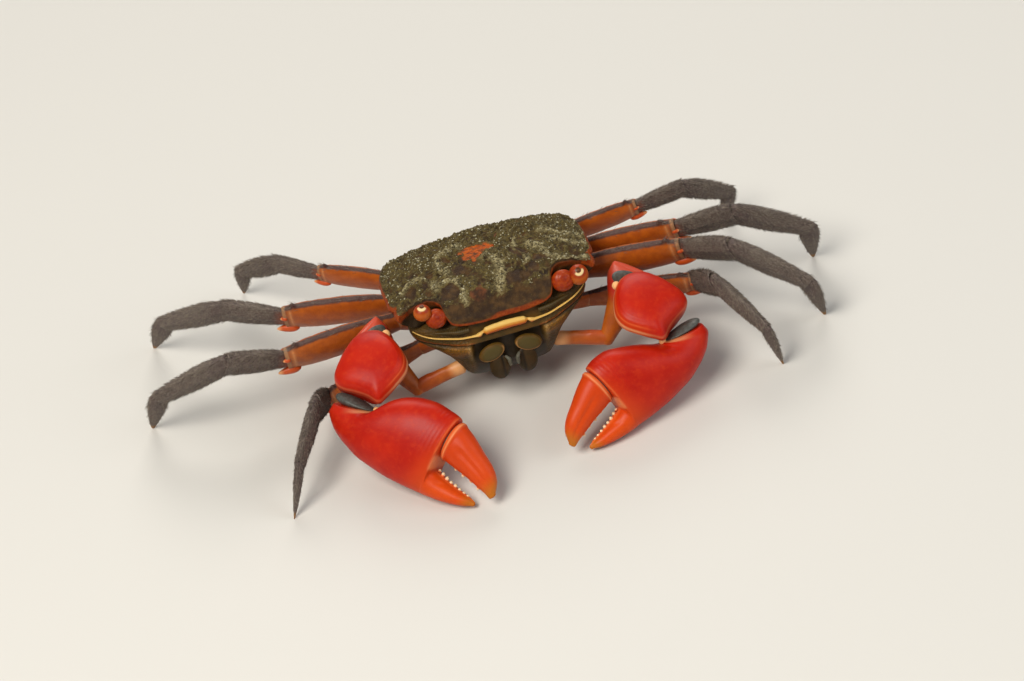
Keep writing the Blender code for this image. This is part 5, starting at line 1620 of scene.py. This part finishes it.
def make_finger(name, axes, finish, tall):
    """The movable finger with its collar, groove and teeth."""
    rings, share = rib_rings(FINGER_RIBS, FINGER_STEPS, FINGER_COLUMNS)
    x = rings[..., 0]
    lower = -np.broadcast_to(np.sin(around(FINGER_COLUMNS)), x.shape)
    rings[..., 2] *= 1 - 0.1 * bell(lower, -0.1, 0.14) * fade(16.0, 18.0, x) * fade(25.0, 23.0, x)
    middle = rings.mean(1, keepdims=True)
    rings = middle + (rings - middle) * (1 + 0.05 * bell(share, 0.03, 0.022)[:, None, None])
    rings = capped(rings, (0.9, 7), (0.35, 6))
    share = lengthened(share, 7, 6, (0.0, 1.0))[:, None] * np.ones(FINGER_COLUMNS)
    edge_line = fade(0.93, 1.0, lengthened(lower, 7, 6)) * fade(0.1, 0.2, share)
    form = ring_form(rings, orange=0.6 + 0.4 * share, olive=fade(0.72, 1.0, share) * 0.8,
                     ridge=np.maximum(fade(0.06, 0.02, share) * 0.6, edge_line * 0.4),
                     cream=bell(share, 0.02, 0.012) * 0.3)
    edge = np.array([low for low, _, _ in FINGER_RIBS])
    form = toothed(form, MOVING_TEETH, edge, -1.0, tall * 0.9)
    as_piece("claw_%s_finger" % name, form.moved(axes), finish)


def make_chela_skins(name, claw, axes, skin):
    """The grey skins in the joint of the finger and in the wrist."""
    joint = ball(*FINGER_SKIN, 28, 44, axis=(1.0, 0.0, 0.0))
    as_piece("claw_%s_finger_skin" % name, ring_form(joint).moved(axes), skin, False)
    low, high = (np.array((*point, 0.0)) for point in WRIST)
    run = unit(high - low)
    turn = np.array(Matrix.Rotation(atan2(run[1], run[0]), 3, "Z"))
    wedge = ball((0, 0, 0), WRIST_SKIN_RADII, 40, 60, axis=(1.0, 0.0, 0.0))
    outwards = 0.5 - wedge[..., 0] / 7.5
    wedge[..., 1] = wedge[..., 1] * (0.25 + 1.1 * claw["fold"] * outwards) + 1.15 * claw["fold"] * outwards
    wedge = wedge @ turn.T + (low + high) / 2 - run * 0.1
    as_piece("claw_%s_wrist_skin" % name, ring_form(wedge).moved(axes), skin, False)


def wrist_plane(claw):
    """A place on the wrist's plane and its normal, towards the carpus, in the floor's axes."""
    turn, place = frame_axes(claw["origin"], claw["along"], claw["height"])
    low, high = (np.array((*point, 0.0)) * claw["size"] for point in WRIST)
    run = unit(high - low)
    return put((low + high) / 2, (turn, place)), turn @ np.array((-run[1], run[0], 0.0)), turn @ run


def closed_path(points, count):
    """Evenly spaced places on a smooth closed curve through points."""
    points = np.asarray(points, float)
    t = np.arange(len(points) * 16) / 16
    i = t.astype(int)
    t = (t - i)[:, None]
    a, b, c, d = (points[(i + k) % len(points)] for k in (-1, 0, 1, 2))
    fine = 0.5 * (2 * b + (c - a) * t + (2 * a - 5 * b + 4 * c - d) * t ** 2
                  + (3 * b - a - 3 * c + d) * t ** 3)
    return resampled(np.concatenate([fine, fine[:1]]), np.linspace(0, 1, count, endpoint=False))


def make_carpus(name, claw, elbow, elbow_normal, finish):
    """The wrist plate between the merus and the palm, a pillow with a fine raised rim."""
    wrist, wrist_normal, wrist_run = wrist_plane(claw)
    axes = frame_axes(*claw["carpus"])
    up = np.sign(axes[0][2, 2])
    outline = closed_path(CARPUS_OUTLINE, CARPUS_COLUMNS)
    wide = np.ones(CARPUS_COLUMNS)
    table = np.array(CARPUS_RINGS)
    run = lengths_along(table[:, :2] * np.array((CARPUS_REACH, 1.0)))
    table = eased(run, table, np.linspace(0, run[-1], CARPUS_STEPS))
    share, rise, slide = (table[:, k][:, None] for k in range(3))
    rounded = unit(outline) * CARPUS_ROUND
    flat = (rounded + (outline - rounded) * share[..., None] ** 2) * share[..., None]
    flat = flat + slide[..., None] * np.array((1.0, -1.0))
    inner = fade(-0.15, 0.5, unit(outline) @ unit(np.array((-0.85, 0.5))))
    above = (rise > -0.9) * 1.0
    bead = bell(share, 0.93, 0.014) * inner * above
    rings = put(np.concatenate([flat, ((rise * wide + 0.06 * bead) * up)[..., None]], -1), axes)
    pivot = wrist + wrist_run * WRIST_KNOB
    tilted = unit(wrist_normal * cos(WRIST_TILT) + wrist_run * sin(WRIST_TILT))
    rings = soft_cut(rings, pivot + wrist_normal * 0.15, -tilted, 0.3)
    rings = soft_cut(rings, elbow + elbow_normal * 0.1, -elbow_normal, 0.3)
    joint = fade(1.0, 0.3, (rings - pivot) @ tilted) * fade(1.8, 0.4, np.linalg.norm(rings - pivot, axis=-1))
    masks = {
        "orange": fade(0.8, 0.97, share) * inner * 0.4 * above + (1 - above) * 0.3 * inner,
        "ridge": bead * 0.4,
        "cream": np.maximum(bell(share, 0.99, 0.01) * above * (0.15 + 0.4 * inner), joint * 0.6),
        "line": (1 - share) * CARPUS_REACH * wide,
        "ruled": fade(0.62, 0.86, share) * fade(0.94, 0.9, share) * (0.25 + 0.75 * inner) * above,
    }
    as_piece("claw_%s_carpus" % name, ring_form(rings, **masks), finish)
    on_plate = put(np.array(ELBOW_KNOB) * np.array((1.0, 1.0, up)), axes)
    for label, place, size in (("wrist", pivot + wrist_normal * 0.1, WRIST_KNOB_SIZE),
                               ("elbow", on_plate, ELBOW_KNOB_SIZE)):
        knob = ball(place, (size, size, size), 22, 30, axis=wrist_normal)
        form = ring_form(knob, cream=np.full(knob.shape[:2], 0.85), ridge=np.ones(knob.shape[:2]))
        as_piece("claw_%s_%s_knob" % (name, label), form, finish, False)


def make_arm(name, side, claw, arm_finish, skin):
    """The two pieces that carry the wrist plate, and the skin of the elbow. Gives the elbow's plane."""
    outer, inner = (np.array(point) for point in claw["merus_end"])
    end = (outer + inner) / 2
    start = mirrored(CLAW_MERUS_START, side)
    coxa = body_to_floor(mirrored(CLAW_COXA, side))
    axes = frame_axes(start, end - start, inner - outer)
    elbow_normal = axes[0][:, 2] * (-1.0 if axes[0][1, 2] > 0 else 1.0)
    elbow = end + elbow_normal * CLAW_MERUS_HALF
    length, half = np.linalg.norm(end - start), np.linalg.norm(inner - outer) / 2
    ribs = [((length * low, -half * low_half), (length * high, half * high_half), thick)
            for (low, high), (low_half, high_half), thick in CLAW_MERUS_RIBS]
    rings, share = rib_rings(ribs, ARM_STEPS, ARM_COLUMNS, 2.0)
    rings = capped(rings, (0.8, 6), (0.35, 5))
    share = lengthened(share, 6, 5, (0.0, 1.0))[:, None]
    across = rings[..., 1] / half
    rings = soft_cut(put(rings, axes), elbow - elbow_normal * 0.1, elbow_normal, 0.3)
    margin = fade(0.8, 0.95, np.maximum(np.abs(across), share))
    # The dark mask here is painted shadow on the lower, outer half of the merus
    form = ring_form(rings, dark=fade(0.3, -0.6, across) * 0.5 * (1 - margin * 0.5),
                     knee=fade(-0.2, 0.5, across) * fade(0.5, 0.75, share),
                     red=fade(0.45, 0.7, share) * np.ones(ARM_COLUMNS),
                     cream=margin * fade(0.5, 0.8, share) * 0.1)
    as_piece("claw_%s_merus" % name, form, arm_finish)
    pad = ball((length - half * 0.42, half * 0.1, 0.0), (half * 0.4, half * 0.8, 0.4), 30, 48)
    pad = put(pad, (axes[0], axes[1] + elbow_normal * CLAW_MERUS_HALF))
    as_piece("claw_%s_elbow_skin" % name, ring_form(pad), skin, False)

    length = np.linalg.norm(start - coxa)
    high, half = CLAW_BASE_RADII
    ribs = [((place, -high * grow), (place, high * grow), half * grow)
            for place, grow in ((-0.8, 1.0), (length * 0.35, 0.92), (length * 0.7, 1.0), (length + 0.4, 1.0))]
    rings, share = rib_rings(ribs, ARM_BASE_STEPS, ARM_BASE_COLUMNS, 2.0)
    rings = capped(rings, (0.6, 6), (0.8, 6))
    along = lengthened(share, 6, 6, (0.0, 1.0))[:, None]
    up = np.sin(around(ARM_BASE_COLUMNS))
    crest = fade(0.6, 0.95, up) * fade(0.2, 0.4, along) * fade(0.95, 0.8, along)
    rings[..., 1] += 0.1 * crest * (1 + noise(rings, 0.7, 6))
    form = ring_form(rings, knee=fade(0.3, 0.7, along) * (0.3 + 0.4 * crest),
                     cream=np.maximum(fade(0.32, 0.1, along) * 0.8, fade(-0.5, -0.9, up) * 0.55))
    form = form.moved(frame_axes(coxa, start - coxa, (0.0, 0.0, 1.0)))
    as_piece("claw_%s_base" % name, form, arm_finish)
    return elbow, elbow_normal


def make_claw(name, settings, finish, skin, arm_finish):
    """One claw, from the palm back to its base."""
    claw = CLAWS[name]
    turn, place = frame_axes(claw["origin"], claw["along"], claw["height"])
    axes = (turn * claw["size"], place)
    tall = settings.tooth_size / MM
    make_palm(name, claw, axes, finish, tall)
    make_finger(name, axes, finish, tall)
    make_chela_skins(name, claw, axes, skin)
    elbow, elbow_normal = make_arm(name, SIDES[name], claw, arm_finish, skin)
    make_carpus(name, claw, elbow, elbow_normal, finish)


# Stage

def make_stage(settings):
    """The floor, the lamps, the sky and the camera."""
    data = bpy.data.meshes.new("floor")
    half = settings.floor_size / 2
    data.from_pydata([(-half, -half, 0.0), (half, -half, 0.0), (half, half, 0.0), (-half, half, 0.0)], [],
                     [(0, 1, 2, 3)])
    make = Finish("floor_finish", Roughness=0.9)
    colour = make.mix(make.grain(60.0) * 0.15, settings.floor_colour, paint(210, 208, 204))
    make.feed(make.shader, "Base Color", colour)
    data.materials.append(make.material)
    linked("floor", data)

    world = bpy.data.worlds.new("studio")
    world.use_nodes = True
    sky = world.node_tree.nodes["Background"]
    sky.inputs["Color"].default_value = SKY_COLOUR
    sky.inputs["Strength"].default_value = SKY_STRENGTH
    bpy.context.scene.world = world
    for name, place, size, power, colour in LAMPS:
        lamp = bpy.data.lights.new(name, "AREA")
        lamp.size = size
        lamp.energy = power * settings.light_power
        lamp.color = colour
        obj = linked(name, lamp)
        obj.location = place
        obj.rotation_euler = (LAMP_TARGET - Vector(place)).to_track_quat("-Z", "Y").to_euler()
    make_camera()
    bpy.context.scene.view_settings.view_transform = "Standard"


def make_camera():
    """The photograph's viewpoint."""
    level, rise = cos(CAMERA_ELEVATION), sin(CAMERA_ELEVATION)
    towards = np.array((sin(CAMERA_AZIMUTH) * level, -cos(CAMERA_AZIMUTH) * level, rise))
    across = np.array((cos(CAMERA_AZIMUTH), sin(CAMERA_AZIMUTH), 0.0))
    up = unit(np.cross(towards, across))
    right = across * cos(CAMERA_ROLL) - up * sin(CAMERA_ROLL)
    top = across * sin(CAMERA_ROLL) + up * cos(CAMERA_ROLL)
    place = (BODY_PLACE + towards * CAMERA_DISTANCE) * MM
    data = bpy.data.cameras.new("camera")
    data.sensor_width = SENSOR
    data.lens = SENSOR * PIXELS_PER_MM * CAMERA_DISTANCE / PICTURE[0]
    data.shift_x = (PICTURE[0] / 2 - ORBITAL_LINE_PIXEL[0]) / PICTURE[0]
    data.shift_y = -(PICTURE[1] / 2 - ORBITAL_LINE_PIXEL[1]) / PICTURE[0]
    data.clip_start = CAMERA_NEAR
    camera = linked("camera", data)
    axes = Matrix(np.stack([right, top, towards], -1).tolist()).to_4x4()
    camera.matrix_world = Matrix.Translation(place) @ axes
    bpy.context.scene.camera = camera


# Operators

class CRAB_OT_stage(bpy.types.Operator):
    """Makes the floor, the lights and the camera"""
    bl_idname = "crab.stage"
    bl_label = "Stage"

    def execute(self, context):
        make_stage(context.scene.crab_stage)
        return {"FINISHED"}


class CRAB_OT_carapace(bpy.types.Operator):
    """Makes the carapace with the silt that lies on it"""
    bl_idname = "crab.carapace"
    bl_label = "Carapace"

    def execute(self, context):
        make_carapace(context.scene.crab_shell)
        return {"FINISHED"}


class CRAB_OT_silt(bpy.types.Operator):
    """Scatters loose silt grains over the carapace"""
    bl_idname = "crab.silt"
    bl_label = "Silt grains"

    def execute(self, context):
        make_silt_grains(context.scene.crab_shell)
        return {"FINISHED"}


class CRAB_OT_eyes(bpy.types.Operator):
    """Makes the two eyes on their stalks"""
    bl_idname = "crab.eyes"
    bl_label = "Eyes"

    def execute(self, context):
        make_eyes(context.scene.crab_head)
        return {"FINISHED"}


class CRAB_OT_mouth(bpy.types.Operator):
    """Makes the bar over the mouth, the jaw legs and the feelers"""
    bl_idname = "crab.mouth"
    bl_label = "Mouth"

    def execute(self, context):
        settings = context.scene.crab_head
        finish = underside_finish(settings)
        make_mouth_rim(settings)
        make_mouthparts(finish)
        make_feelers(finish)
        return {"FINISHED"}


class CRAB_OT_belly(bpy.types.Operator):
    """Makes the cheeks, the sternum and the folded tail"""
    bl_idname = "crab.belly"
    bl_label = "Belly"

    def execute(self, context):
        finish = underside_finish(context.scene.crab_head)
        on_body("thorax", make_cheeks() + make_sternum(), finish)
        make_abdomen(finish)
        return {"FINISHED"}


class CRAB_OT_claws(bpy.types.Operator):
    """Makes both claws with their teeth and the skin in their joints"""
    bl_idname = "crab.claws"
    bl_label = "Claws"

    def execute(self, context):
        settings = context.scene.crab_claw
        finish, skin = claw_finish(settings), membrane_finish(settings)
        arm_finish = leg_orange_finish(context.scene.crab_leg)
        for name in CLAWS:
            make_claw(name, settings, finish, skin, arm_finish)
        return {"FINISHED"}


class CRAB_OT_legs(bpy.types.Operator):
    """Makes the eight walking legs and their bristles"""
    bl_idname = "crab.legs"
    bl_label = "Legs"

    def execute(self, context):
        make_legs(context.scene.crab_leg)
        return {"FINISHED"}


class CRAB_PT_panel(bpy.types.Panel):
    """Lists the crab's pieces and their sizes and colours"""
    bl_idname = "CRAB_PT_panel"
    bl_label = "Mangrove crab"
    bl_space_type = "VIEW_3D"
    bl_region_type = "UI"
    bl_category = "Crab"

    def draw(self, context):
        for operator in OPERATORS:
            self.layout.operator(operator.bl_idname)
        for name in SETTINGS:
            group = getattr(context.scene, name)
            for key in group.__annotations__:
                self.layout.prop(group, key)


OPERATORS = (CRAB_OT_stage, CRAB_OT_carapace, CRAB_OT_silt, CRAB_OT_eyes, CRAB_OT_mouth, CRAB_OT_belly,
             CRAB_OT_claws, CRAB_OT_legs)
SETTINGS = {"crab_shell": CrabShell, "crab_head": CrabHead, "crab_claw": CrabClaw, "crab_leg": CrabLeg,
            "crab_stage": CrabStage}


def register():
    for group in SETTINGS.values():
        bpy.utils.register_class(group)
    for name, group in SETTINGS.items():
        setattr(bpy.types.Scene, name, PointerProperty(type=group))
    for operator in OPERATORS:
        bpy.utils.register_class(operator)
    bpy.utils.register_class(CRAB_PT_panel)


def unregister():
    bpy.utils.unregister_class(CRAB_PT_panel)
    for operator in reversed(OPERATORS):
        bpy.utils.unregister_class(operator)
    for name, group in SETTINGS.items():
        delattr(bpy.types.Scene, name)
        bpy.utils.unregister_class(group)


def main():
    register()
    for operator in OPERATORS:
        group, name = operator.bl_idname.split(".")
        getattr(getattr(bpy.ops, group), name)()


if __name__ == "__main__":
    main()
